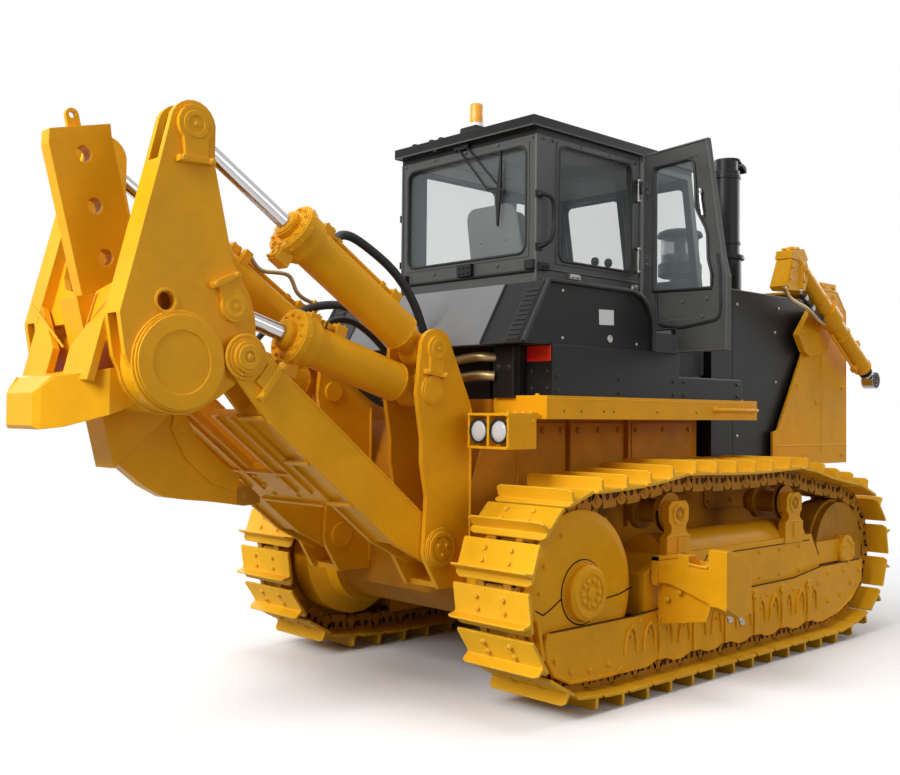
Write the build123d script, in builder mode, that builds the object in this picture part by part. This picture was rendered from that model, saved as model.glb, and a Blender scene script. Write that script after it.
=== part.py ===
"""Crawler bulldozer with a rear ripper, built as separate named pieces.

Sizes are in millimetres.  +X points to the machine's front, +Y to its left, +Z up.
Everything is laid out from the drive sprockets' axis (X = 0), the middle of the machine (Y = 0)
and the ground (Z = 0); save() then moves each piece so that X = 0 is the middle of the whole length.
A point written as (x, z) lies in a side plane; y_in and y_out are distances from the middle plane.
"""
import os
from math import asin, atan2, cos, degrees, hypot, pi, radians, sin

from build123d import *

os.makedirs("parts", exist_ok=True)

# ---------------------------------------------------------------- driving dimensions
rear_reach = 2665          # sprocket axis to the ripper beam's push block
front_reach = 4350         # sprocket axis to the front of the blade-lift rod eyes
seat_gap = 0.3             # between curved faces that bear on each other
side_gap = 5               # between a moving piece and the plate beside it

# tracks
track_gauge = 2140         # middle of one track to the middle of the other
shoe_width = 560
shoe_count = 40
pin_height = 147           # link pin above the ground on the lower run
rail_drop = 55             # pin to the rail that the rollers bear on
shoe_seat = 57             # pin to the shoe's inner face
shoe_thickness = 18
grouser_height = 72
grouser_root = 34
grouser_tip = 20
grouser_place = 0.62       # along each shoe, from its first pin
link_thickness = 48
link_spacing = 150         # clear width between the two link strands
sprocket_x, sprocket_z = 0, 660
sprocket_pin_radius = 495.6
sprocket_teeth = 27
idler_x, idler_z = 3120, 640
idler_pin_radius = 435
roller_radius = 110
roller_count = 7
roller_first_x, roller_last_x = 530, 2690
flat_overrun = 235         # the lower run stays flat this far past its end rollers
carrier_radius = 120
carrier_x = (910, 2330)
carrier_z = 1058
chain_sag = 20             # of the upper run between its supports

# ripper linkage, as (x, z)
arm_pivot = (-500, 880)
beam_pivot = (-1786, 1915)
tilt_base_pin = (-541, 2014)
tilt_eye_pin = (-2071, 3013)
lift_base_pin = (-577, 1779)
lift_eye_pin = (-1838, 2160)
beam_tube_centre = (-2129, 1877)
beam_tube_radius = 235
bracket_y_in, bracket_y_out = 310, 610
bracket_plate = 30
arm_plate = 30
tower_width = 160
tower_plate = 36
shank_lean = 14            # degrees, the top leans to the rear
shank_width = 330
shank_thickness = 90
shank_hole_radius = 40

# body
hull_y = 620               # half width of the case and main frame between the tracks
hood_y = 700
guard_y = 750
deck_y = 1000
fender_y = 1040
fender_z_low, fender_z_high = 1622, 1758
cab_y = 640
cab_wall = 45
cab_rear_x, cab_front_x = 270, 2120
cab_floor_z, cab_sill_z = 1950, 2520
cab_front_lean = 0.184     # the windscreen moves back this much per unit of height
roof_y, roof_z = 660, 3507
roof_slab, roof_seat = 62, 45          # thickness of the overhanging slab, and of the part inside the walls' line
roof_rear_x, roof_front_x = 212, 2020
window_margin = 30                     # top of the side windows below the walls' top
cab_clearance = 10         # cab to the hood and to the deck
pane = 8                   # glass thickness
door_hinge = (1340, 661)
door_angle = 100           # the right door stands open this far
door_sheet = 32

roof_low_z = roof_z - roof_slab
cab_roof_z = roof_low_z - roof_seat
track_y = track_gauge / 2
shoe_y_in = track_y - shoe_width / 2
shoe_y_out = track_y + shoe_width / 2
centre_shift = (rear_reach - front_reach) / 2
tower_y_in = (bracket_y_in + bracket_y_out) / 2 - tower_width / 2
tower_y_out = tower_y_in + tower_width
linkage_y = tower_y_in + tower_width / 2
RIGHT, LEFT = -1, 1


# ---------------------------------------------------------------- helpers
def save(builder, name, hinge=(0, 0), turn=0):
    """Label a finished piece, turn it about an upright (x, y) hinge, move it to the origin and write it."""
    swing = Location((*hinge, 0)) * Location((0, 0, 0), (0, 0, turn)) * Location((-hinge[0], -hinge[1], 0))
    piece = builder.part.moved(Location((centre_shift, 0, 0)) * swing)
    piece.label = name
    export_step(piece, f"parts/{name}.step")


def block(x, y, z, mode=Mode.ADD):
    """A box from three (low, high) pairs."""
    (x0, x1), (y0, y1), (z0, z1) = sorted(x), sorted(y), sorted(z)
    with Locations(((x0 + x1) / 2, (y0 + y1) / 2, (z0 + z1) / 2)):
        Box(x1 - x0, y1 - y0, z1 - z0, mode=mode)


def side_plate(outline, y, mode=Mode.ADD):
    """Extrude a closed outline of (x, z) points between two y values."""
    y0, y1 = sorted(y)
    with BuildSketch(Plane.XZ.offset(-y1), mode=Mode.PRIVATE) as profile:
        with BuildLine():
            Polyline(*outline, close=True)
        make_face()
    extrude(profile.sketch, amount=y1 - y0, mode=mode)


def cross_plate(outline, x, mode=Mode.ADD):
    """Extrude a closed outline of (y, z) points between two x values."""
    x0, x1 = sorted(x)
    with BuildSketch(Plane.YZ.offset(x0), mode=Mode.PRIVATE) as profile:
        with BuildLine():
            Polyline(*outline, close=True)
        make_face()
    extrude(profile.sketch, amount=x1 - x0, mode=mode)


def flat_plate(outline, z, mode=Mode.ADD):
    """Extrude a closed outline of (x, y) points between two z values."""
    z0, z1 = sorted(z)
    with BuildSketch(Plane.XY.offset(z0), mode=Mode.PRIVATE) as profile:
        with BuildLine():
            Polyline(*outline, close=True)
        make_face()
    extrude(profile.sketch, amount=z1 - z0, mode=mode)


def cross_pin(centre, radius, y, mode=Mode.ADD):
    """A cylinder across the machine, centred on an (x, z) point."""
    y0, y1 = sorted(y)
    with Locations(Location((centre[0], (y0 + y1) / 2, centre[1]), (90, 0, 0))):
        Cylinder(radius, y1 - y0, mode=mode)


def upright(x, y, z, radius, mode=Mode.ADD):
    """A vertical cylinder between two z values."""
    z0, z1 = sorted(z)
    with Locations((x, y, (z0 + z1) / 2)):
        Cylinder(radius, z1 - z0, mode=mode)


def bar(start, end, radius, mode=Mode.ADD):
    """A round bar between two (x, y, z) points."""
    a, b = Vector(*start), Vector(*end)
    with Locations(Plane(origin=(a + b) / 2, z_dir=b - a)):
        Cylinder(radius, (b - a).length, mode=mode)


def along(start, end, distance, y):
    """The (x, y, z) point a distance along the line from one (x, z) point to another."""
    length = hypot(end[0] - start[0], end[1] - start[1])
    share = distance / length
    return (start[0] + (end[0] - start[0]) * share, y, start[1] + (end[1] - start[1]) * share)


def rounded(centre, radius, start, stop, steps):
    """Points on an arc about an (x, z) centre, between two angles in degrees."""
    angles = [radians(start + (stop - start) * i / steps) for i in range(steps + 1)]
    return [(centre[0] + radius * cos(a), centre[1] + radius * sin(a)) for a in angles]


def keeper_cap(centre, radius, turn, y):
    """A pin's end plate: a disc with a tab towards an angle, held there by a cross bar."""
    a = radians(turn)
    ux, uz = cos(a), sin(a)
    tab, reach = 0.62 * radius, 1.85 * radius
    corners = [(centre[0] + reach * ux + w * uz, centre[1] + reach * uz - w * ux) for w in (-tab, tab)]
    side_plate(rounded(centre, radius, turn + 45, turn + 315, 14) + corners[::-1], y)
    bar_ends = [(centre[0] + d * ux + w * uz, centre[1] + d * uz - w * ux)
                for d, w in ((reach - 14, -1.05 * radius), (reach + 14, -1.05 * radius),
                             (reach + 14, 1.05 * radius), (reach - 14, 1.05 * radius))]
    side_plate(bar_ends, (y[0], y[1] + (y[1] - y[0]) / 2))


# ---------------------------------------------------------------- the chain's path
def belt(wheels):
    """Straight and round stretches of a loop that runs counter-clockwise round (x, z, radius) wheels."""
    normals = []
    for (x0, z0, r0), (x1, z1, r1) in zip(wheels, wheels[1:] + wheels[:1]):
        reach = hypot(x1 - x0, z1 - z0)
        normals.append(atan2(z1 - z0, x1 - x0) - pi / 2 + asin((r0 - r1) / reach))
    stretches = []
    for i, (x, z, r) in enumerate(wheels):
        arrive, leave = normals[i - 1], normals[i]
        turn = (leave - arrive) % (2 * pi)
        stretches.append(("arc", r * turn, (x, z, r), arrive))
        x1, z1, r1 = wheels[(i + 1) % len(wheels)]
        a = (x + r * cos(leave), z + r * sin(leave))
        b = (x1 + r1 * cos(leave), z1 + r1 * sin(leave))
        stretches.append(("line", hypot(b[0] - a[0], b[1] - a[1]), a, b))
    return stretches


def point_on(stretches, distance):
    """The (x, z) point at a distance along the loop."""
    for kind, length, first, second in stretches:
        if distance <= length:
            if kind == "arc":
                x, z, r = first
                angle = second + distance / r
                return (x + r * cos(angle), z + r * sin(angle))
            share = distance / length
            return (first[0] + (second[0] - first[0]) * share, first[1] + (second[1] - first[1]) * share)
        distance -= length
    return point_on(stretches, distance)


roller_z = pin_height + rail_drop + roller_radius
chain_wheels = [
    (roller_first_x - flat_overrun, roller_z, roller_radius + rail_drop),
    (roller_last_x + flat_overrun, roller_z, roller_radius + rail_drop),
    (idler_x, idler_z, idler_pin_radius),
    (carrier_x[1], carrier_z, carrier_radius + rail_drop),
    (carrier_x[0], carrier_z, carrier_radius + rail_drop),
    (sprocket_x, sprocket_z, sprocket_pin_radius),
]
chain_path = belt(chain_wheels)
chain_length = sum(stretch[1] for stretch in chain_path)
shoe_pitch = chain_length / shoe_count
chain_phase = 40           # moves every shoe along the loop


def sagged(point):
    """Let a pin of the upper run hang a little between its supports."""
    x, z = point
    supports = (sprocket_x, *carrier_x, idler_x)
    for rear, front in zip(supports, supports[1:]):
        if rear < x < front and z > sprocket_z:
            share = (x - rear) / (front - rear)
            return (x, z - 4 * chain_sag * share * (1 - share))
    return point


pins = [sagged(point_on(chain_path, chain_phase + i * shoe_pitch)) for i in range(shoe_count)]


def on_link(i, share, height):
    """A point beside link i: share of the way along it, and height outside its pins."""
    (x0, z0), (x1, z1) = pins[i], pins[(i + 1) % shoe_count]
    length = hypot(x1 - x0, z1 - z0)
    ux, uz = (x1 - x0) / length, (z1 - z0) / length
    return (x0 + (x1 - x0) * share + uz * height, z0 + (z1 - z0) * share - ux * height)


def shoe_outline():
    """Outer outline of the shoes: each has a flat plate and one grouser."""
    plate = shoe_seat + shoe_thickness
    root, tip = grouser_root / 2 / shoe_pitch, grouser_tip / 2 / shoe_pitch
    points = []
    for i in range(shoe_count):
        points += [
            on_link(i, 0.04, plate),
            on_link(i, grouser_place - root, plate),
            on_link(i, grouser_place - tip, plate + grouser_height),
            on_link(i, grouser_place + tip, plate + grouser_height),
            on_link(i, grouser_place + root, plate),
            on_link(i, 0.96, plate),
        ]
    return points


def below_chain(x, z, radius):
    """The height at which a roller of this radius just clears the rail above it."""
    while min(rail_distance(i, x, z) for i in range(shoe_count)) < radius + seat_gap:
        z -= 0.5
    return z


def rail_distance(i, x, z):
    """The distance from a point to the rail of link i."""
    (x0, z0), (x1, z1) = on_link(i, 0, -rail_drop), on_link(i, 1, -rail_drop)
    share = ((x - x0) * (x1 - x0) + (z - z0) * (z1 - z0)) / ((x1 - x0) ** 2 + (z1 - z0) ** 2)
    share = min(1, max(0, share))
    return hypot(x - x0 - share * (x1 - x0), z - z0 - share * (z1 - z0))


print(f"chain: {shoe_count} shoes at a pitch of {shoe_pitch:.1f} mm")


# ---------------------------------------------------------------- tracks
def make_track(side, name):
    inner = [on_link(i, end, shoe_seat) for i in range(shoe_count) for end in (0.04, 0.96)]
    rail = [on_link(i, end, -rail_drop) for i in range(shoe_count) for end in (0.1, 0.9)]
    with BuildPart() as track:
        side_plate(shoe_outline(), (side * shoe_y_in, side * shoe_y_out))
        side_plate(inner, (side * shoe_y_in, side * shoe_y_out), mode=Mode.SUBTRACT)
        for offset in (-1, 1):
            middle = side * track_y + offset * (link_spacing + link_thickness) / 2
            strand = (middle - link_thickness / 2, middle + link_thickness / 2)
            with BuildSketch(Plane.XZ.offset(-strand[1]), mode=Mode.PRIVATE) as ring:
                with BuildLine():
                    Polyline(*inner, close=True)
                make_face()
                with BuildLine():
                    Polyline(*rail, close=True)
                make_face(mode=Mode.SUBTRACT)
            extrude(ring.sketch, amount=link_thickness)
    save(track, name)


make_track(RIGHT, "track_right")
make_track(LEFT, "track_left")

link_y_in = track_y - link_spacing / 2 - link_thickness      # inner and outer faces of the two strands
link_y_out = track_y + link_spacing / 2 + link_thickness


# ---------------------------------------------------------------- sprockets and final drives
sprocket_width = link_spacing - 2 * side_gap
sprocket_y_in, sprocket_y_out = track_y - sprocket_width / 2, track_y + sprocket_width / 2
tooth_reach, tooth_valley = 20, -50     # from the chain's pins, outward
tooth_root_turn, tooth_tip_turn = 4.4, 1.7
tooth_pitch = 360 / sprocket_teeth


def sprocket_outline():
    rearmost = min(pins)
    first = degrees(atan2(rearmost[1] - sprocket_z, rearmost[0] - sprocket_x)) + tooth_pitch / 2
    points = []
    for k in range(sprocket_teeth):
        for turn, height in ((-tooth_root_turn, tooth_valley), (-tooth_tip_turn, tooth_reach),
                             (tooth_tip_turn, tooth_reach), (tooth_root_turn, tooth_valley)):
            angle = radians(first + tooth_pitch * k + turn)
            r = sprocket_pin_radius + height
            points.append((sprocket_x + r * cos(angle), sprocket_z + r * sin(angle)))
    return points


with BuildPart() as sprockets:
    side_plate(sprocket_outline(), (-sprocket_y_out, -sprocket_y_in))
    mirror(about=Plane.XZ)
save(sprockets, "sprockets")

# the cover outside each sprocket, and the drive housing inside it
cover_neck_radius = 410
cover_radius = 455
cover_y_in, cover_y_out = link_y_out + side_gap, 1238
drive_hub_radius, drive_hub_y = 155, 1300
drive_case_radius, axle_radius = 395, 300


def turned_about_axle(profile):
    """Revolve a profile of (radius, distance from the middle plane) points about the right axle."""
    with BuildSketch(Plane.XY.offset(sprocket_z), mode=Mode.PRIVATE) as half:
        with BuildLine():
            Polyline(*[(sprocket_x + r, -y) for r, y in profile], close=True)
        make_face()
    revolve(half.sketch, axis=Axis((sprocket_x, 0, sprocket_z), (0, 1, 0)))


with BuildPart() as final_drives:
    turned_about_axle([
        (0, sprocket_y_out), (cover_neck_radius, sprocket_y_out), (cover_neck_radius, cover_y_in),
        (cover_radius, cover_y_in), (cover_radius, cover_y_out - 20), (cover_radius - 55, cover_y_out),
        (drive_hub_radius + 12, cover_y_out), (drive_hub_radius, cover_y_out + 10),
        (drive_hub_radius, drive_hub_y - 14), (drive_hub_radius - 16, drive_hub_y), (0, drive_hub_y),
    ])
    turned_about_axle([
        (0, hull_y), (axle_radius, hull_y), (axle_radius, shoe_y_in - 60), (drive_case_radius, shoe_y_in),
        (drive_case_radius, sprocket_y_in - 30), (axle_radius, sprocket_y_in), (0, sprocket_y_in),
    ])
    mirror(about=Plane.XZ)
save(final_drives, "final_drives")


# ---------------------------------------------------------------- track frames, rollers and idlers
frame_y_in, frame_y_out = 920, 1245
guard_skin = 22
frame_low_z, frame_top_z = 452, 800
frame_outline = [
    (570, frame_low_z), (2700, frame_low_z), (2700, 640), (2600, frame_top_z), (760, frame_top_z), (570, 700),
]
guard_foot_z, guard_wave = 160, 28
roller_pitch = (roller_last_x - roller_first_x) / (roller_count - 1)
wavy_edge = []                         # the guard's lower edge dips below each roller
for i in range(2 * roller_count - 1):
    middle = roller_first_x + i * roller_pitch / 2
    wavy_edge += [(middle - roller_pitch / 8, guard_foot_z + guard_wave * (i % 2)),
                  (middle + roller_pitch / 8, guard_foot_z + guard_wave * (i % 2))]
roller_guard_outline = [
    (-330, 470), (-330, 330), (-270, 235), (-130, 175), (60, 165), *wavy_edge, (2950, 190),
    (3180, 275), (3330, 400), (3340, 560), (2700, 560), (2300, 510), (1000, 500), (460, 470),
]
recoil_radius = 150
trunnion_x = (640, 905)    # rear and front of the arm that carries the push beam
trunnion_z = (655, 785)    # its root, bottom and top
trunnion_foot_z, trunnion_top_z = 505, 880
trunnion_y_out = 1760
thin_lug_y, deep_lug_y = (1432, 1506), (1640, 1760)
carrier_head, carrier_neck, carrier_foot = 105, 78, 122     # half widths of a carrier roller's arm
carrier_arm_y_in = link_y_out + side_gap
roller_z_at = {x: below_chain(x, carrier_z, carrier_radius) for x in carrier_x}


def make_track_frame(side, name):
    with BuildPart() as frame:
        side_plate(frame_outline, (side * frame_y_in, side * frame_y_out))
        bar((800, side * track_y, frame_top_z - 40), (2560, side * track_y, frame_top_z - 40), recoil_radius)
        side_plate(roller_guard_outline, (side * frame_y_out, side * (frame_y_out + guard_skin)))
        side_plate([(430, 200), (2700, 200), (2700, frame_low_z + 60), (580, frame_low_z + 60), (430, frame_low_z)],
                   (side * (frame_y_in - guard_skin), side * frame_y_in))
        for i in range(roller_count - 1):
            x = roller_first_x + (i + 0.5) * roller_pitch
            block((x - 30, x + 30), (side * (frame_y_out + guard_skin), side * (frame_y_out + guard_skin + 12)),
                  (guard_foot_z + guard_wave, 480))
        # the arm that carries the push beam deepens outward and ends in two lugs
        rear, front = trunnion_x
        root = (trunnion_z[0], trunnion_z[1])
        cross_plate([(side * frame_y_out, root[0]), (side * frame_y_out, root[1]),
                     (side * (trunnion_y_out - 5), root[1] - 30), (side * (trunnion_y_out - 5), trunnion_foot_z + 40),
                     (side * 1640, trunnion_foot_z + 70), (side * 1380, root[0])], trunnion_x)
        side_plate([(rear, root[1] - 40), (rear, trunnion_top_z), (rear + 60, trunnion_top_z),
                    (front, root[1] - 12), (front, trunnion_foot_z), (front - 130, trunnion_foot_z - 10),
                    (rear, trunnion_foot_z + 55)], (side * deep_lug_y[0], side * deep_lug_y[1]))
        side_plate([(rear, root[1] - 40), (rear, root[1] + 46), (rear + 90, root[1] + 46), (rear + 150, root[1] - 40)],
                   (side * thin_lug_y[0], side * thin_lug_y[1]))
        cross_plate([(side * (frame_y_out + guard_skin), 400), (side * (frame_y_out + guard_skin), root[0]),
                     (side * 1400, root[0]), (side * 1640, trunnion_foot_z + 70), (side * 1600, 460)],
                    (rear + 40, rear + 66))
        for x in carrier_x:
            y = (side * carrier_arm_y_in, side * (frame_y_out + 10))
            head_z = roller_z_at[x]
            side_plate([(x - carrier_foot, frame_top_z - 40), (x - carrier_foot, 900), (x - carrier_neck, 935),
                        (x - carrier_neck, head_z - 75), (x - carrier_head, head_z - 50),
                        (x - carrier_head, head_z + 40), (x - carrier_head + 35, head_z + 72),
                        (x + carrier_head - 35, head_z + 72), (x + carrier_head, head_z + 40),
                        (x + carrier_head, head_z - 50), (x + carrier_neck, head_z - 75),
                        (x + carrier_neck, 935), (x + carrier_foot, 900), (x + carrier_foot, frame_top_z - 40)], y)
        for x in carrier_x:
            cross_pin((x, roller_z_at[x]), 45, (side * (carrier_arm_y_in - 5), side * (frame_y_out + 20)),
                      mode=Mode.SUBTRACT)
        # the yoke that holds the idler's shaft
        block((2690, 3060), (side * (link_y_out + side_gap), side * (frame_y_out - 10)), (570, 730))
        cross_pin((idler_x, idler_z), 115, (side * (link_y_out + side_gap), side * (frame_y_out + 12)))
        cross_pin((idler_x, idler_z), 60, (side * link_y_out, side * (frame_y_out + 20)), mode=Mode.SUBTRACT)
    save(frame, name)


make_track_frame(RIGHT, "track_frame_right")
make_track_frame(LEFT, "track_frame_left")

flange_radius = roller_radius + 18
tread_y_in, tread_y_out = link_y_in - 4, link_y_out + 4
with BuildPart() as rollers:
    for i in range(roller_count):
        centre = (roller_first_x + i * roller_pitch, roller_z)
        cross_pin(centre, roller_radius - seat_gap, (-tread_y_out, -tread_y_in))
        for inner, outer in ((tread_y_in - 14, tread_y_in), (tread_y_out, tread_y_out + 14)):
            cross_pin(centre, flange_radius, (-outer, -inner))
        cross_pin(centre, 45, (-frame_y_out, -frame_y_in))
    mirror(about=Plane.XZ)
save(rollers, "track_rollers")

with BuildPart() as carriers:
    for x in carrier_x:
        for inner, outer in ((link_y_in, track_y - link_spacing / 2), (track_y + link_spacing / 2, link_y_out)):
            cross_pin((x, roller_z_at[x]), carrier_radius, (-outer, -inner))
        cross_pin((x, roller_z_at[x]), 75, (-link_y_out, -link_y_in + 60))
        cross_pin((x, roller_z_at[x]), 45, (-frame_y_out - 10, -link_y_out))
    mirror(about=Plane.XZ)
save(carriers, "carrier_rollers")

idler_half_turn = asin(shoe_pitch / 2 / idler_pin_radius)
idler_tread = idler_pin_radius * cos(idler_half_turn) - rail_drop - 3
with BuildPart() as idlers:
    cross_pin((idler_x, idler_z), idler_tread, (-link_y_out, -link_y_in))
    cross_pin((idler_x, idler_z), idler_tread + 20, (-track_y - link_spacing / 2 + side_gap,
                                                    -track_y + link_spacing / 2 - side_gap))
    cross_pin((idler_x, idler_z), 60, (-frame_y_out - 12, -link_y_out))
    mirror(about=Plane.XZ)
save(idlers, "idlers")


# ---------------------------------------------------------------- main frame and case
case_x = -265
hull_top_z = fender_z_high - 20
front_frame_z = 1350
case_outline = [
    (case_x, 560), (case_x, 1250), (-110, 1600), (-110, hull_top_z), (2060, hull_top_z), (2060, front_frame_z),
    (3500, front_frame_z), (3500, 900), (3300, 560), (1200, 500), (300, 430), (-100, 430),
]
with BuildPart() as main_frame:
    side_plate(case_outline, (-hull_y, hull_y))
save(main_frame, "main_frame")

with BuildPart() as track_axles:
    for x in (1250, 2350):
        block((x, x + 200), (-frame_y_in, -hull_y), (560, 720))
    mirror(about=Plane.XZ)
save(track_axles, "frame_supports")


# ---------------------------------------------------------------- ripper brackets
arm_pin_radius, beam_pin_radius, tilt_pin_radius, lift_pin_radius = 75, 60, 65, 62
bracket_outline = (
    rounded(tilt_base_pin, 118, 10, 180, 10)
    + [(-690, 1760), (-645, 1500), (-645, 1370), (-606, 1180)]
    + rounded(arm_pivot, 128, 165, 215, 4)
    + [(-508, 650), (case_x, 650), (case_x, 1700)]
)
with BuildPart() as brackets:
    for y_in in (bracket_y_in, bracket_y_out - bracket_plate):
        side_plate(bracket_outline, (-y_in, -y_in - bracket_plate))
    block((-480, case_x), (-bracket_y_in, -bracket_y_out), (650, 680))
    block((case_x - 35, case_x), (-bracket_y_in, -bracket_y_out), (650, 1150))
    for pin, radius in ((arm_pivot, arm_pin_radius), (lift_base_pin, lift_pin_radius)):
        cross_pin(pin, radius, (-bracket_y_in + 20, -bracket_y_out - 20))
    cross_pin(arm_pivot, 110, (-bracket_y_out, -bracket_y_out - 14))
    keeper_cap(tilt_base_pin, 76, 262, (-bracket_y_out, -bracket_y_out - 20))
    cross_pin(lift_base_pin, 84, (-bracket_y_out, -bracket_y_out - 14))
    for y in ((bracket_y_in, bracket_y_in + bracket_plate), (bracket_y_out - bracket_plate, bracket_y_out)):
        cross_pin(tilt_base_pin, tilt_pin_radius, (-y[0], -y[1]), mode=Mode.SUBTRACT)
    mirror(about=Plane.XZ)
save(brackets, "ripper_brackets")


# ---------------------------------------------------------------- ripper arm
arm_above, arm_below = 94, 164
arm_root_radius, arm_eye_radius = 108, 102
arm_y_in, arm_y_out = bracket_y_in + bracket_plate + side_gap, bracket_y_out - bracket_plate - side_gap
fork_depth = 260           # the fork that takes the beam's tower
bridge_start, bridge_end = 620, 1400
arm_length = hypot(beam_pivot[0] - arm_pivot[0], beam_pivot[1] - arm_pivot[1])
arm_angle = degrees(atan2(beam_pivot[1] - arm_pivot[1], beam_pivot[0] - arm_pivot[0]))


def on_arm(distance, height):
    """The (x, z) point along the arm from its pivot, and above the line to the beam's pivot."""
    a = radians(arm_angle)
    return (arm_pivot[0] + distance * cos(a) + height * sin(a),
            arm_pivot[1] + distance * sin(a) - height * cos(a))


arm_side = (
    rounded(beam_pivot, arm_eye_radius, arm_angle + 90, arm_angle - 70, 10)
    + [on_arm(arm_length - 260, arm_above), on_arm(230, arm_above)]
    + rounded(arm_pivot, arm_root_radius, arm_angle - 120, arm_angle - 250, 8)
    + [on_arm(260, -arm_below), on_arm(arm_length - 330, -arm_below)]
)
arm_core = [on_arm(150, arm_above - 20), on_arm(arm_length - fork_depth, arm_above - 20),
            on_arm(arm_length - fork_depth, -arm_below + 20), on_arm(240, -arm_below + 20)]
arm_bridge = [on_arm(bridge_end, -arm_below + 40), on_arm(bridge_end, -arm_below),
              on_arm(bridge_start, -arm_below), on_arm(bridge_start, -arm_below + 40)]
arm_slot = [on_arm(bridge_end + 10, 0), on_arm(bridge_end + 10, -arm_below - 10),
            on_arm(bridge_start + 300, -arm_below - 10), on_arm(bridge_start + 300, 0)]
with BuildPart() as arm:
    side_plate(arm_side, (-arm_y_out, -arm_y_out + arm_plate))
    side_plate(arm_side, (-arm_y_in - arm_plate, -arm_y_in))
    side_plate(arm_core, (-arm_y_out + arm_plate, -arm_y_in - arm_plate))
    mirror(about=Plane.XZ)
    side_plate(arm_bridge, (-arm_y_in, arm_y_in))
    side_plate(arm_slot, (-90, 90), mode=Mode.SUBTRACT)
    for side in (RIGHT, LEFT):
        y = (side * arm_y_in, side * arm_y_out)
        cross_pin(arm_pivot, arm_pin_radius + seat_gap, y, mode=Mode.SUBTRACT)
        cross_pin(beam_pivot, beam_pin_radius + seat_gap, y, mode=Mode.SUBTRACT)
save(arm, "ripper_arm")

with BuildPart() as beam_pins:
    cross_pin(beam_pivot, beam_pin_radius, (-arm_y_in + 12, -arm_y_out - 2))
    cross_pin(beam_pivot, 96, (-arm_y_out - 2, -arm_y_out - 16))
    cross_pin(beam_pivot, 78, (-arm_y_out - 16, -arm_y_out - 34))
    mirror(about=Plane.XZ)
save(beam_pins, "beam_pins")


# ---------------------------------------------------------------- ripper beam and shank
tower_outline = (
    rounded(tilt_eye_pin, 120, 8, 172, 10)
    + [(-2238, 2835), (-2431, 2096), (-2400, 1903)]
    + rounded(beam_tube_centre, 244, 188, 300, 8)
    + [(-1915, 1713)]
    + rounded(beam_pivot, 105, 270, 400, 8)
    + [(-1711, 2106), (-1742, 2218), (-1848, 2390), (-1953, 2841)]
)
boss_proud = 26
tongue_half, tongue_tip_half = 390, 150
tongue_front_x = -rear_reach + 465
push_face_z = (1575, 1728)             # the flat rear end that pushes
gusset_plate = 36
lean = radians(shank_lean)
shank_foot = (-2017, 1416)             # middle of the shank at the bottom of its pocket
half = shank_width / 2
shank_clear = 4
pocket_wall = 55
pocket_top, pocket_rise = 860, 235
shank_hole_pitch = 255
shank_holes = [1535 - i * shank_hole_pitch for i in range(4)]
pin_hole = shank_holes[-1]


def on_shank(height, offset):
    """The (x, z) point up the shank from its pocket's bottom, and ahead of its middle."""
    return (shank_foot[0] - height * sin(lean) + offset * cos(lean),
            shank_foot[1] + height * cos(lean) + offset * sin(lean))


shank_outline = [
    on_shank(1600, -half), on_shank(1668, -half + 20), on_shank(1672, half + 8), on_shank(1600, half),
    on_shank(200, half), (-1846, 1626), (-1771, 1490), (-1603, 1339), (-1430, 1250), (-1440, 1134),
    (-1676, 1170), (-1802, 1184), (-1926, 1203), (-2040, 1265), on_shank(0, -half),
]
lifting_eye_top, lifting_eye_plate = 1765, 24
eye_half_width = 34
tip_outline = [(-1430, 1250), (-1337, 1180), (-1337, 1140), (-1440, 1134)]

with BuildPart() as tongue:
    flat_plate([(-rear_reach, -tongue_tip_half), (-rear_reach, tongue_tip_half),
                (-rear_reach + 25, tongue_tip_half + 40), (-rear_reach + 265, tongue_half),
                (tongue_front_x, tongue_half), (tongue_front_x, -tongue_half),
                (-rear_reach + 265, -tongue_half), (-rear_reach + 25, -tongue_tip_half - 40)], (1500, 1900))
    side_plate([(-rear_reach, push_face_z[0]), (-rear_reach + 20, push_face_z[0] - 18),
                (-rear_reach + 105, push_face_z[0] - 5), (-rear_reach + 365, 1663), (tongue_front_x, 1690),
                (tongue_front_x, 1852), (-rear_reach + 275, 1845), (-rear_reach + 75, 1806),
                (-rear_reach, push_face_z[1])], (-tongue_half - 10, tongue_half + 10), mode=Mode.INTERSECT)


def towers_rear(z, inset):
    """The x of the towers' rear edge at this height, moved forward by an inset."""
    return -2431 + (z - 2096) * (2431 - 2238) / (2835 - 2096) + inset


def rear_plate(outline, inset):
    """A plate of (y, z) points between tower and pocket, along the towers' rear edge."""
    low = towers_rear(outline[-1][1], inset)
    with BuildSketch(Plane(origin=(low, 0, outline[-1][1]), x_dir=(0, 1, 0), z_dir=(1, 0, (2238 - 2431) / (2835 - 2096))),
                     mode=Mode.PRIVATE) as profile:
        with BuildLine():
            Polyline(*[(y, z - outline[-1][1]) for y, z in outline], close=True)
        make_face()
    extrude(profile.sketch, amount=gusset_plate)


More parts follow.
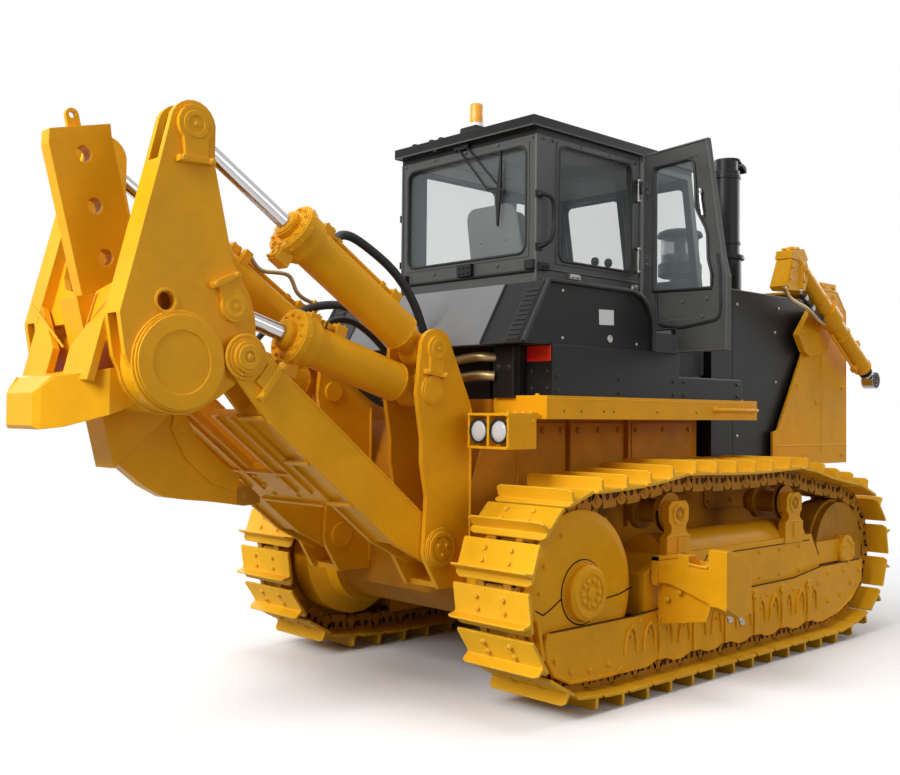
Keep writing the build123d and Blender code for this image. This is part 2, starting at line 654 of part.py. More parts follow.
with BuildPart() as beam:
    for y in ((-tower_y_out, -tower_y_out + tower_plate), (-tower_y_in - tower_plate, -tower_y_in)):
        side_plate(tower_outline, y)
    side_plate([(-2238, 2835), (-2431, 2096), (-2405, 2096), (-2212, 2835)],
               (-tower_y_out + tower_plate, -tower_y_in - tower_plate))
    cross_pin(on_shank(pin_hole, 0), shank_hole_radius + 4, (-tower_y_in, -tower_y_out), mode=Mode.SUBTRACT)
    keeper_cap(lift_eye_pin, 76, 115, (-tower_y_out, -tower_y_out - 22))
    keeper_cap(tilt_eye_pin, 92, 272, (-tower_y_out, -tower_y_out - 24))
    side_in, pocket_side = tower_y_in + 2, shank_thickness / 2 + pocket_wall - 2
    rear_plate([(-side_in, 2624), (-side_in + 15, 2450), (-side_in + 42, 2340), (-side_in + 100, 2275),
                (-pocket_side, 2235), (-pocket_side, 2080), (-side_in, 2080)], 60)
    rear_plate([(-side_in, 2194), (-pocket_side, 1960), (-pocket_side, 1790), (-side_in, 1790)], 4)
    mirror(about=Plane.XZ)
    cross_pin(beam_tube_centre, beam_tube_radius, (-tower_y_out - boss_proud, tower_y_out + boss_proud))
    side_plate([on_shank(pocket_rise, half + pocket_wall), on_shank(pocket_top, half + pocket_wall),
                on_shank(pocket_top, -half - pocket_wall), on_shank(0, -half - pocket_wall)],
               (-shank_thickness / 2 - pocket_wall, shank_thickness / 2 + pocket_wall))
    add(tongue.part)
    side_plate([on_shank(-50, half + shank_clear), on_shank(pocket_top + 100, half + shank_clear),
                on_shank(pocket_top + 100, -half - shank_clear), on_shank(-50, -half - shank_clear)],
               (-shank_thickness / 2 - shank_clear, shank_thickness / 2 + shank_clear), mode=Mode.SUBTRACT)
    cross_pin(on_shank(pin_hole, 0), shank_hole_radius, (-tower_y_in, tower_y_in), mode=Mode.SUBTRACT)
    for side in (RIGHT, LEFT):
        cross_pin(beam_pivot, beam_pin_radius + seat_gap, (side * (tower_y_in - 5), side * (tower_y_out + 5)),
                  mode=Mode.SUBTRACT)
save(beam, "ripper_beam")

with BuildPart() as shank:
    side_plate(shank_outline, (-shank_thickness / 2, shank_thickness / 2))
    side_plate([on_shank(1660, -eye_half_width)]
               + rounded(on_shank(lifting_eye_top - eye_half_width, 0), eye_half_width, 180 + shank_lean, shank_lean, 8)
               + [on_shank(1660, eye_half_width)], (-lifting_eye_plate / 2, lifting_eye_plate / 2))
    cross_pin(on_shank(lifting_eye_top - eye_half_width, 0), eye_half_width - 18, (-shank_thickness, shank_thickness),
              mode=Mode.SUBTRACT)
    for height in shank_holes:
        cross_pin(on_shank(height, 0), shank_hole_radius, (-shank_thickness, shank_thickness), mode=Mode.SUBTRACT)
save(shank, "ripper_shank")

with BuildPart() as tip:
    side_plate(tip_outline, (-shank_thickness / 2 - 12, shank_thickness / 2 + 12))
save(tip, "ripper_tip")

with BuildPart() as shank_pin:
    cross_pin(on_shank(pin_hole, 0), shank_hole_radius - seat_gap, (-130, 130))
save(shank_pin, "shank_pin")


# ---------------------------------------------------------------- ripper cylinders
eye_half = tower_width / 2 - tower_plate - side_gap
base_half = (bracket_y_out - bracket_y_in) / 2 - bracket_plate - side_gap
eye_wall = 30


gland_radius, gland_length = 80, 34
port_reach, port_half = 52, 34         # port blocks stand this far off the barrel
tube_radius = 15


def make_cylinders(name, base, eye, base_radius, base_bore, barrel, head, rod_start, rod_radius,
                   eye_radius, ports):
    """A pair of cylinders: barrel is (start, end, radius), head (end, radius) and ports (near, far), all
    measured from the base pin."""
    ux, uz = (eye[0] - base[0]), (eye[1] - base[1])
    above = (-uz / hypot(ux, uz), ux / hypot(ux, uz)) if ux > 0 else (uz / hypot(ux, uz), -ux / hypot(ux, uz))

    def off_axis(distance, height):
        x, _, z = along(base, eye, distance, 0)
        return (x + above[0] * height, z + above[1] * height)

    length = hypot(eye[0] - base[0], eye[1] - base[1])
    with BuildPart() as barrels:
        cross_pin(base, base_radius, (-linkage_y - 75, -linkage_y + 75))
        bar(along(base, eye, 40, -linkage_y), along(base, eye, barrel[0], -linkage_y), 75)
        bar(along(base, eye, barrel[0], -linkage_y), along(base, eye, barrel[1], -linkage_y), barrel[2])
        bar(along(base, eye, barrel[1], -linkage_y), along(base, eye, head[0], -linkage_y), head[1])
        bar(along(base, eye, head[0], -linkage_y), along(base, eye, head[0] + gland_length, -linkage_y), gland_radius)
        bar(along(base, eye, head[0] - 46, -linkage_y), along(base, eye, head[0] - 6, -linkage_y), head[1] + 12)
        for place in ports:
            side_plate([off_axis(place - port_half, 60), off_axis(place - port_half, barrel[2] + port_reach),
                        off_axis(place + port_half, barrel[2] + port_reach), off_axis(place + port_half, 60)],
                       (-linkage_y - port_half, -linkage_y + port_half))
        near, far = (off_axis(place, barrel[2] + port_reach / 2) for place in ports)
        bar((near[0], -linkage_y, near[1]), (far[0], -linkage_y, far[1]), tube_radius)
        bar(along(base, eye, barrel[0] + 40, -linkage_y), along(base, eye, head[0] + gland_length + 1, -linkage_y),
            rod_radius + seat_gap, mode=Mode.SUBTRACT)
        cross_pin(base, base_bore, (-linkage_y - 80, -linkage_y + 80), mode=Mode.SUBTRACT)
        mirror(about=Plane.XZ)
    save(barrels, f"{name}_barrels")
    with BuildPart() as rods:
        bar(along(base, eye, rod_start, -linkage_y), along(base, eye, length - eye_radius + 10, -linkage_y),
            rod_radius)
        cross_pin(eye, eye_radius, (-linkage_y - eye_half, -linkage_y + eye_half))
        cross_pin(eye, eye_radius - eye_wall, (-linkage_y - eye_half, -linkage_y + eye_half), mode=Mode.SUBTRACT)
        mirror(about=Plane.XZ)
    save(rods, f"{name}_rods")


make_cylinders("tilt", tilt_base_pin, tilt_eye_pin, 95, tilt_pin_radius, (170, 970, 112), (1090, 140),
               520, 40, 85, (330, 900))
make_cylinders("lift", lift_base_pin, lift_eye_pin, 92, lift_pin_radius + seat_gap, (160, 800, 112), (920, 140),
               205, 44, 75, (620, 800))

with BuildPart() as tilt_pins:
    cross_pin(tilt_base_pin, tilt_pin_radius - seat_gap, (-bracket_y_in + 20, -bracket_y_out + seat_gap))
    mirror(about=Plane.XZ)
save(tilt_pins, "tilt_pins")


# ---------------------------------------------------------------- hood, guard and engine
shell = 20
hood_rear_x = cab_front_x + cab_clearance
hood_top_z = 2610
guard_seam = [(3690, hood_top_z), (3427, 2227), (2999, 1543), (2923, 1527), (2923, front_frame_z)]
hood_outline = [(hood_rear_x, front_frame_z), (hood_rear_x, hood_top_z)] + guard_seam
with BuildPart() as hood:
    side_plate(hood_outline, (-hood_y, hood_y))
    side_plate([(hood_rear_x + shell, front_frame_z - 1), (hood_rear_x + shell, hood_top_z - shell),
                (3690, hood_top_z - shell), (3427, 2227), (2999, 1543), (2999, front_frame_z - 1)],
               (-hood_y + shell, hood_y - shell), mode=Mode.SUBTRACT)
save(hood, "hood")

guard_low_z, guard_front_x = 1263, 4142
guard_outline = [(2923, guard_low_z), (guard_front_x, guard_low_z), (guard_front_x, 2560), (3980, 2720),
                 (3690, 2720)] + guard_seam[:-1]
guard_inside = [(2923 - 1, guard_low_z - 1), (guard_front_x - shell, guard_low_z - 1), (guard_front_x - shell, 2550),
                (3970, 2700), (3690 - 1, 2700), (3690 - 1, hood_top_z), (3427 - 1, 2227), (2999 - 1, 1543), (2923 - 1, 1528)]
grille_y, grille_z = 620, (1400, 2480)
with BuildPart() as guard:
    side_plate(guard_outline, (-guard_y, guard_y))
    side_plate(guard_inside, (-guard_y + shell, guard_y - shell), mode=Mode.SUBTRACT)
    side_plate([(3100, front_frame_z), (3500, front_frame_z), (3500, front_frame_z + shell),
                (3100, front_frame_z + shell)], (-guard_y + shell, guard_y - shell))
    for side in (RIGHT, LEFT):
        side_plate([(3700, 2640), (3700, 2777), (3960, 2777), (3960, 2640)],
                   (side * guard_y, side * (guard_y - shell)))
    block((guard_front_x - shell - 1, guard_front_x + 1), (-grille_y, grille_y), grille_z, mode=Mode.SUBTRACT)
save(guard, "radiator_guard")

with BuildPart() as grille:
    for k in range(-6, 7):
        y = k * grille_y / 6.5
        block((guard_front_x - shell, guard_front_x), (y - 15, y + 15), grille_z)
    for z in (grille_z[0] + 20, sum(grille_z) / 2, grille_z[1] - 20):
        block((guard_front_x - shell, guard_front_x), (-grille_y, grille_y), (z - 20, z + 20))
save(grille, "grille")

with BuildPart() as radiator:
    block((3350, 3500), (-500, 500), (front_frame_z + shell, 2300))
save(radiator, "radiator")

engine_y = 380
with BuildPart() as engine:
    block((2220, 2950), (-engine_y, engine_y), (front_frame_z, 2350))
save(engine, "engine")

# exhaust stack and air pre-cleaner on the hood
exhaust_x, exhaust_y, exhaust_top_z = 2961, -300, 3751
exhaust_lip_z = exhaust_top_z - 101
with BuildPart() as exhaust:
    upright(exhaust_x, exhaust_y, (hood_top_z, 2650), 150)
    upright(exhaust_x, exhaust_y, (2650, 2925), 125)
    upright(exhaust_x, exhaust_y, (2925, 2960), 142)
    upright(exhaust_x, exhaust_y, (2960, exhaust_lip_z), 112)
    upright(exhaust_x, exhaust_y, (exhaust_lip_z, exhaust_top_z - 12), 95)
    upright(exhaust_x, exhaust_y, (2960, exhaust_top_z - 12), 82, mode=Mode.SUBTRACT)
    upright(exhaust_x + 20, exhaust_y, (exhaust_top_z - 12, exhaust_top_z), 105)
save(exhaust, "exhaust")

cleaner_x, cleaner_y = 2500, -170
with BuildPart() as cleaner:
    upright(cleaner_x, cleaner_y, (hood_top_z, 2740), 70)
    upright(cleaner_x, cleaner_y, (2740, 2860), 172)
    upright(cleaner_x, cleaner_y, (2860, 3080), 150)
    upright(cleaner_x, cleaner_y, (3080, 3140), 180)
save(cleaner, "precleaner")


# ---------------------------------------------------------------- blade lift cylinders
lift_y = 905
lift_head, lift_trunnion, lift_eye = (2925, 2877), (3600, 2425), (4277, 1971)
lift_length = hypot(lift_eye[0] - lift_head[0], lift_eye[1] - lift_head[1])
lift_barrel_radius, lift_rod_radius, lift_eye_radius = 71, 35, 73
yoke_reach = 50
yoke_bore = 45


def make_blade_lift(side, word):
    y = side * lift_y
    with BuildPart() as barrel:
        bar(along(lift_head, lift_eye, -60, y), along(lift_head, lift_eye, lift_length - 170, y), lift_barrel_radius)
        bar(along(lift_head, lift_eye, 640, y), along(lift_head, lift_eye, 800, y), lift_barrel_radius + 22)
        cross_pin(lift_trunnion, yoke_bore, (side * (guard_y + 2), side * (lift_y - 60)))
        side_plate([(2817, 2926), (2799, 2862), (2990, 2850), (3057, 2869), (2991, 2951)], (y - 70, y + 70))
        side_plate([(2808, 2862), (2701, 2640), (2740, 2612), (3029, 2628), (3080, 2750), (2990, 2860)],
                   (y - 60, y + 60))
        bar(along(lift_head, lift_eye, 0, y), along(lift_head, lift_eye, lift_length, y),
            lift_rod_radius + seat_gap, mode=Mode.SUBTRACT)
        bar(along(lift_head, lift_eye, -60, y), along(lift_head, lift_eye, 0, y), lift_rod_radius + 10)
    save(barrel, f"blade_lift_barrel_{word}")
    with BuildPart() as rod:
        bar(along(lift_head, lift_eye, 5, y), along(lift_head, lift_eye, lift_length - lift_eye_radius + 8, y),
            lift_rod_radius)
        cross_pin(lift_eye, lift_eye_radius, (y - 50, y + 50))
        cross_pin(lift_eye, lift_eye_radius - 35, (y - 50, y + 50), mode=Mode.SUBTRACT)
    save(rod, f"blade_lift_rod_{word}")


make_blade_lift(RIGHT, "right")
make_blade_lift(LEFT, "left")

with BuildPart() as yokes:
    side_plate([(3230, 2310), (3330, 2180), (3416, 2140), (3680, 2180), (3760, 2300), (3760, 2530), (3450, 2540)],
               (-guard_y, -guard_y - yoke_reach))
    cross_pin(lift_trunnion, yoke_bore + seat_gap, (-guard_y, -guard_y - yoke_reach), mode=Mode.SUBTRACT)
    mirror(about=Plane.XZ)
save(yokes, "lift_yokes")


# ---------------------------------------------------------------- decks, tanks and fenders
deck_low_z, deck_top_z = 2055, 2430
deck_front_x = cab_rear_x - cab_clearance
tank_y_in = 650
with BuildPart() as rear_deck:
    side_plate([(-240, deck_low_z), (-15, deck_top_z), (deck_front_x, deck_top_z), (deck_front_x, deck_low_z)],
               (-tank_y_in, tank_y_in))
save(rear_deck, "rear_deck")
with BuildPart() as cab_mounts:
    for x in (400, 1750):
        block((x, x + 160), (-380, -560), (hull_top_z, cab_floor_z))
    mirror(about=Plane.XZ)
save(cab_mounts, "cab_mounts")
with BuildPart() as side_covers:
    side_plate([(-240, deck_low_z), (-15, deck_top_z), (760, deck_top_z)]
               + rounded((760, deck_top_z - 240), 240, 80, 0, 6) + [(1000, deck_low_z)],
               (-deck_y + 20, -tank_y_in))
    mirror(about=Plane.XZ)
save(side_covers, "side_covers")
with BuildPart() as side_tanks:
    block((10, 1277), (-tank_y_in, -deck_y), (fender_z_high, deck_low_z))
    block((1277, 2050), (-tank_y_in, -deck_y), (fender_z_high, 1900))
    mirror(about=Plane.XZ)
save(side_tanks, "side_tanks")
with BuildPart() as fuel_tank:
    block((-60, deck_front_x), (-560, 560), (hull_top_z, deck_low_z))
save(fuel_tank, "rear_tank")

fender_rear_x, fender_front_x = -83, 2188
fender_skin = 20
with BuildPart() as fenders:
    flat_plate([(fender_rear_x, -hull_y), (2060, -hull_y), (2060, -hood_y - 5), (fender_front_x, -hood_y - 5),
                (fender_front_x, -fender_y), (fender_rear_x, -fender_y)], (hull_top_z, fender_z_high))
    block((fender_rear_x, fender_front_x), (-fender_y + fender_skin, -fender_y), (fender_z_low, hull_top_z))
    block((fender_rear_x, fender_rear_x + fender_skin), (-hull_y, -fender_y), (fender_z_low, hull_top_z))
    mirror(about=Plane.XZ)
save(fenders, "fenders")

lamp_x, lamp_y, lamp_z = (-377, -148), (700, 1020), (1452, 1654)
with BuildPart() as lamp_boxes:
    block(lamp_x, (-lamp_y[0], -lamp_y[1]), lamp_z)
    block((lamp_x[0], lamp_x[0] + 60), (-lamp_y[0] - 15, -lamp_y[1] + 15), (lamp_z[0] + 15, lamp_z[1] - 15),
          mode=Mode.SUBTRACT)
    block((lamp_x[1], fender_rear_x), (-lamp_y[0] - 20, -lamp_y[1] + 20), (fender_z_low, fender_z_low + 25))
    mirror(about=Plane.XZ)
save(lamp_boxes, "lamp_boxes")
with BuildPart() as lamps:
    for y in (-780, -940):
        with Locations(Location((lamp_x[0] + 35, y, 1553), (0, 90, 0))):
            Cylinder(62, 50)
    mirror(about=Plane.XZ)
save(lamps, "rear_lamps")


# ---------------------------------------------------------------- cab
def front_x(z):
    """Where the cab's front face is at this height."""
    return cab_front_x - max(0, z - cab_sill_z) * cab_front_lean


def cab_profile(inset, low, high):
    return [(cab_rear_x + inset, low), (cab_front_x - inset, low), (cab_front_x - inset, cab_sill_z),
            (front_x(high) - inset, high), (cab_rear_x + inset, high)]


window_top = cab_roof_z - window_margin
side_window = [(465, 2614), (1235, 2614), (1235, window_top), (465, window_top)]
door_way = [(1375, 2256), (1705, 2256), (1720, 2097), (2075, 2097), (2075, 2520), (2040, 2650), (1905, window_top - 5),
            (1375, window_top - 5)]
rear_window = [(-560, 2650), (580, 2650), (580, window_top - 20), (-560, window_top - 20)]
screen_z = (2650, window_top - 30)
screens = ((-575, -25), (25, 575))
with BuildPart() as cab:
    side_plate(cab_profile(0, cab_floor_z, cab_roof_z), (-cab_y, cab_y))
    side_plate(cab_profile(cab_wall, cab_floor_z + cab_wall, cab_roof_z + 1), (-cab_y + cab_wall, cab_y - cab_wall),
               mode=Mode.SUBTRACT)
    for side in (RIGHT, LEFT):
        wall = (side * (cab_y - cab_wall - 1), side * (cab_y + 1))
        side_plate(side_window, wall, mode=Mode.SUBTRACT)
        side_plate(door_way, wall, mode=Mode.SUBTRACT)
    cross_plate(rear_window, (cab_rear_x - 1, cab_rear_x + cab_wall + 1), mode=Mode.SUBTRACT)
    for y in screens:
        block((1800, cab_front_x + 1), y, screen_z, mode=Mode.SUBTRACT)
    for side in (RIGHT, LEFT):
        for z in (2420, window_top - 150):
            block((door_hinge[0] - 14, door_hinge[0] + 14), (side * cab_y, side * (door_hinge[1] - 5)), (z - 40, z))
            upright(door_hinge[0], side * door_hinge[1], (z - 40, z), 14)
save(cab, "cab")

with BuildPart() as roof:
    block((cab_rear_x, front_x(cab_roof_z)), (-cab_y, cab_y), (cab_roof_z, roof_low_z))
    block((roof_rear_x, roof_front_x), (-roof_y, roof_y), (roof_low_z, roof_z))
save(roof, "cab_roof")

glass_y = cab_y - cab_wall / 2
with BuildPart() as cab_glass:
    for side in (RIGHT, LEFT):
        side_plate(side_window, (side * (glass_y - pane / 2), side * (glass_y + pane / 2)))
    cross_plate(rear_window, (cab_rear_x + 20, cab_rear_x + 20 + pane))
    for y in screens:
        side_plate([(front_x(screen_z[0]) - 20, screen_z[0]), (front_x(screen_z[0]) - 20 - pane, screen_z[0]),
                    (front_x(screen_z[1]) - 20 - pane, screen_z[1]), (front_x(screen_z[1]) - 20, screen_z[1])], y)
save(cab_glass, "cab_glass")

door_top = roof_low_z - side_gap
hinge_heights = (2420, window_top - 150)
door_outline = [(18, 2221), (330, 2221), (345, 2062), (768, 2062), (775, 2525), (740, 2650), (600, door_top),
                (18, door_top)]
door_window = [(110, 2285), (650, 2285), (655, 2530), (620, 2650), (520, door_top - 100), (110, door_top - 100)]


def at_hinge(outline):
    return [(door_hinge[0] + u, z) for u, z in outline]


def make_door(side, word, turn):
    hinge_y = side * door_hinge[1]
    y_in, y_out = hinge_y - side * door_sheet / 2, hinge_y + side * door_sheet / 2
    with BuildPart() as door:
        side_plate(at_hinge(door_outline), (y_in, y_out))
        side_plate(at_hinge(door_window), (y_in, y_out), mode=Mode.SUBTRACT)
        for z in hinge_heights:
            upright(door_hinge[0], hinge_y, (z, z + 40), 14)
            block((door_hinge[0], door_hinge[0] + 20), (hinge_y - 10, hinge_y + 10), (z, z + 40))
    save(door, f"door_{word}", (door_hinge[0], hinge_y), turn)
    with BuildPart() as glass:
        side_plate(at_hinge(door_window), (hinge_y - pane / 2, hinge_y + pane / 2))
    save(glass, f"door_glass_{word}", (door_hinge[0], hinge_y), turn)


make_door(RIGHT, "right", -door_angle)
make_door(LEFT, "left", 0)

# inside the cab: seat, its base and the consoles
floor_z = cab_floor_z + cab_wall
with BuildPart() as seat_base:
    block((650, 1150), (-260, 260), (floor_z, 2300))
    for side in (RIGHT, LEFT):
        block((650, 1300), (side * 330, side * 520), (floor_z, 2560))
    block((1880, 2060), (-450, 450), (floor_z, 2480))
save(seat_base, "cab_consoles")
with BuildPart() as seat:
    block((700, 1240), (-255, 255), (2300, 2440))
    side_plate([(600, 2400), (740, 2400), (620, 3080), (520, 3080)], (-240, 240))
save(seat, "seat")

beacon_x, beacon_y = 306, -60
pedestal_height, collar_height, lens_height = 71, 35, 134
beacon_base_z = roof_z + pedestal_height
with BuildPart() as beacon_base:
    block((beacon_x - 75, beacon_x + 75), (beacon_y - 75, beacon_y + 75), (roof_z, beacon_base_z - collar_height))
    upright(beacon_x, beacon_y, (beacon_base_z - collar_height, beacon_base_z), 50)
save(beacon_base, "beacon_base")
with BuildPart() as beacon:
    upright(beacon_x, beacon_y, (beacon_base_z, beacon_base_z + lens_height), 46)
    fillet(beacon.faces().sort_by(Axis.Z)[-1].edges(), radius=18)
save(beacon, "beacon")

# grab rails: one up the cab's right rear corner and one on each fender
rail_radius = 14
with BuildPart() as rails:
    for side in (RIGHT, LEFT):
        x, y = cab_rear_x + 60, side * (cab_y + 50)
        bar((x, y, 2700), (x, y, window_top - 110), rail_radius)
        for z in (2720, window_top - 130):
            bar((x, side * cab_y, z), (x, y, z), rail_radius - 3)
        bar((1850, side * (fender_y + 45), 1690), (2150, side * (fender_y + 45), 1690), rail_radius)
        for fx in (1870, 2130):
            bar((fx, side * fender_y, 1690), (fx, side * (fender_y + 45), 1690), rail_radius - 3)
save(rails, "grab_rails")
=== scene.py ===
"""Looks of the crawler bulldozer: finishes, tracks with single shoes, fasteners, seals, hoses, light and camera.

Places are written in millimetres from the sprocket axis, the middle plane and the ground. In a loop over sides(),
y counts outward from the middle plane, so one line of code dresses the right and the left alike.
"""
from math import asin, atan2, cos, degrees, hypot, pi, radians, sin

import bmesh
import bpy
from mathutils import Matrix, Vector


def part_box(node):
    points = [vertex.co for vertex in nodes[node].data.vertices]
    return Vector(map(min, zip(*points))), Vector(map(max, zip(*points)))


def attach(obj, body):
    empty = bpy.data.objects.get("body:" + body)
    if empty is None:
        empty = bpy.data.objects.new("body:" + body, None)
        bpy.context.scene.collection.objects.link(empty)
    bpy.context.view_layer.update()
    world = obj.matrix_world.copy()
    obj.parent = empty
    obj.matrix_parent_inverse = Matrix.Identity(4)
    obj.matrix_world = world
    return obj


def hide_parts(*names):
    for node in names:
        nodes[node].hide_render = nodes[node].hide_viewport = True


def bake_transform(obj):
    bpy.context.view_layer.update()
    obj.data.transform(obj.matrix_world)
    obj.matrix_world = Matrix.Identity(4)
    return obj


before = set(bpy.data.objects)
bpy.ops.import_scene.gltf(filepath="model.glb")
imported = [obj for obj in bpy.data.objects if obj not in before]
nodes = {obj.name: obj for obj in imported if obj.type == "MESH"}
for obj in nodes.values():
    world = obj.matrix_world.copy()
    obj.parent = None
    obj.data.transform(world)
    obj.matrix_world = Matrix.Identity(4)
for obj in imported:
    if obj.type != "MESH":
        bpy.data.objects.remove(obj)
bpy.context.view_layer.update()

MM = 0.001
idler_x = 3120
shift = (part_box("idlers")[0].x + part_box("idlers")[1].x) / 2 / MM - idler_x
to_frame = Matrix.Scale(MM, 4) @ Matrix.Translation((shift, 0, 0))
RIGHT, LEFT = -1, 1     # the sides, by the sign of y
ahead, rear, outward, inward, up = (Vector(way) for way in ((1, 0, 0), (-1, 0, 0), (0, 1, 0), (0, -1, 0), (0, 0, 1)))


def at(x, y, z):
    """A place in Blender's metres from these millimetres."""
    return to_frame @ Vector((x, y, z))


def linked(thing):
    bpy.context.scene.collection.objects.link(thing)
    return thing


# ---------------------------------------------------------------- camera, light and floor
def make_camera():
    camera = linked(bpy.data.objects.new("camera", bpy.data.cameras.new("camera")))
    camera.data.sensor_width = 36
    camera.data.lens = 42.54
    yaw, pitch, roll = radians(46.46), radians(1.45), radians(0.52)
    forward = Vector((cos(yaw) * cos(pitch), sin(yaw) * cos(pitch), sin(pitch)))
    right = Vector((sin(yaw), -cos(yaw), 0))
    above = right.cross(forward)
    across, upright = right * cos(roll) + above * sin(roll), above * cos(roll) - right * sin(roll)
    rotation = Matrix((across, upright, -forward)).transposed().to_4x4()
    camera.matrix_world = Matrix.Translation(at(-4650, -5045, 1644)) @ rotation
    bpy.context.scene.camera = camera


def area_light(name, place, size, power):
    """A soft lamp that looks at the machine's middle; places in metres."""
    lamp = bpy.data.lights.new(name, "AREA")
    lamp.shape = "RECTANGLE"
    lamp.size, lamp.size_y = size
    lamp.energy = power
    thing = linked(bpy.data.objects.new(name, lamp))
    thing.location = place
    thing.rotation_mode = "QUATERNION"
    thing.rotation_quaternion = (Vector((0, 0, 1.2)) - Vector(place)).to_track_quat("-Z", "Y")


def add(tree, kind, **inputs):
    """A shader node with these values on its sockets; a node's output there is linked."""
    node = tree.nodes.new(kind)
    for name, value in inputs.items():
        put(tree, node.inputs[name.replace("_", " ")], value)
    return node


def put(tree, socket, value):
    if isinstance(value, bpy.types.NodeSocket):
        tree.links.new(value, socket)
    else:
        socket.default_value = (*value, 1) if isinstance(value, tuple) and len(value) == 3 else value


def combined(tree, operation, first, second):
    node = tree.nodes.new("ShaderNodeMath")
    node.operation = operation
    put(tree, node.inputs[0], first)
    put(tree, node.inputs[1], second)
    return node.outputs[0]


def mixed(tree, factor, first, second):
    """A mix of two colours."""
    node = tree.nodes.new("ShaderNodeMix")
    node.data_type = "RGBA"
    for socket, value in ((node.inputs[0], factor), (node.inputs[6], first), (node.inputs[7], second)):
        put(tree, socket, value)
    return node.outputs[2]


def mixed_shaders(tree, factor, first, second):
    node = add(tree, "ShaderNodeMixShader", Fac=factor)
    put(tree, node.inputs[1], first)
    put(tree, node.inputs[2], second)
    return node.outputs[0]


def seen_directly(tree):
    """1 for rays that show a background: from the camera, in reflections and through glass."""
    path = tree.nodes.new("ShaderNodeLightPath")
    value = path.outputs["Is Camera Ray"]
    for kind in ("Is Glossy Ray", "Is Transmission Ray"):
        value = combined(tree, "MAXIMUM", value, path.outputs[kind])
    return value


def make_world():
    world = bpy.data.worlds.new("studio")
    bpy.context.scene.world = world
    world.use_nodes = True
    tree = world.node_tree
    tree.nodes.clear()
    soft = add(tree, "ShaderNodeBackground", Color=(1, 1, 1), Strength=0.27)
    white = add(tree, "ShaderNodeBackground", Color=(1, 1, 1))
    add(tree, "ShaderNodeOutputWorld", Surface=mixed_shaders(tree, seen_directly(tree), soft.outputs[0],
        white.outputs[0]))


def make_floor():
    mesh = bpy.data.meshes.new("floor")
    half = 60
    mesh.from_pydata([(-half, -half, 0), (half, -half, 0), (half, half, 0), (-half, half, 0)], [], [(0, 1, 2, 3)])
    floor = linked(bpy.data.objects.new("floor", mesh))
    floor.location.z = -0.001
    skin = bpy.data.materials.new("floor")
    skin.use_nodes = True
    tree = skin.node_tree
    shader = tree.nodes["Principled BSDF"]
    shader.inputs["Roughness"].default_value = 1.0
    shader.inputs["Specular IOR Level"].default_value = 0.0
    grey_for_light, white_for_sight = (0.28, 0.28, 0.28), (0.97, 0.97, 0.97)
    put(tree, shader.inputs["Base Color"], mixed(tree, seen_directly(tree), grey_for_light, white_for_sight))
    # far from the machine the floor runs into the white background
    distance = tree.nodes.new("ShaderNodeVectorMath")
    distance.operation = "LENGTH"
    put(tree, distance.inputs[0], tree.nodes.new("ShaderNodeTexCoord").outputs["Object"])
    far = add(tree, "ShaderNodeMapRange", From_Min=4.5, From_Max=9.0, Value=distance.outputs["Value"])
    far.interpolation_type = "SMOOTHSTEP"
    share = combined(tree, "MULTIPLY", far.outputs[0], seen_directly(tree))
    plain = tree.nodes.new("ShaderNodeEmission")
    surface = mixed_shaders(tree, share, shader.outputs[0], plain.outputs[0])
    put(tree, tree.nodes["Material Output"].inputs["Surface"], surface)
    mesh.materials.append(skin)


bpy.context.scene.view_settings.view_transform = "Standard"
make_camera()
make_world()
make_floor()
area_light("key", (-11, -0.5, 7.5), (6, 6), 1450)
area_light("top", (0.5, 0, 11), (9, 7), 400)
area_light("side", (2, -12, 4), (7, 4), 230)
area_light("front", (11, -2, 6), (6, 5), 420)
area_light("far", (1, 11, 6), (8, 5), 420)


# ---------------------------------------------------------------- materials
def ramp(tree, source, low, high, dark, light):
    """A colour ramp between two positions."""
    node = tree.nodes.new("ShaderNodeValToRGB")
    node.color_ramp.elements[0].position = low
    node.color_ramp.elements[0].color = (*dark, 1)
    node.color_ramp.elements[1].position = high
    node.color_ramp.elements[1].color = (*light, 1)
    put(tree, node.inputs["Fac"], source)
    return node.outputs["Color"]


def edge_mask(tree, radius):
    """How far a rounded normal agrees with the true one, 1 away from edges; and the rounded normal."""
    bevel = add(tree, "ShaderNodeBevel", Radius=radius)
    bevel.samples = 4
    dot = tree.nodes.new("ShaderNodeVectorMath")
    dot.operation = "DOT_PRODUCT"
    put(tree, dot.inputs[0], bevel.outputs["Normal"])
    put(tree, dot.inputs[1], tree.nodes.new("ShaderNodeNewGeometry").outputs["Normal"])
    return dot.outputs["Value"], bevel.outputs["Normal"]


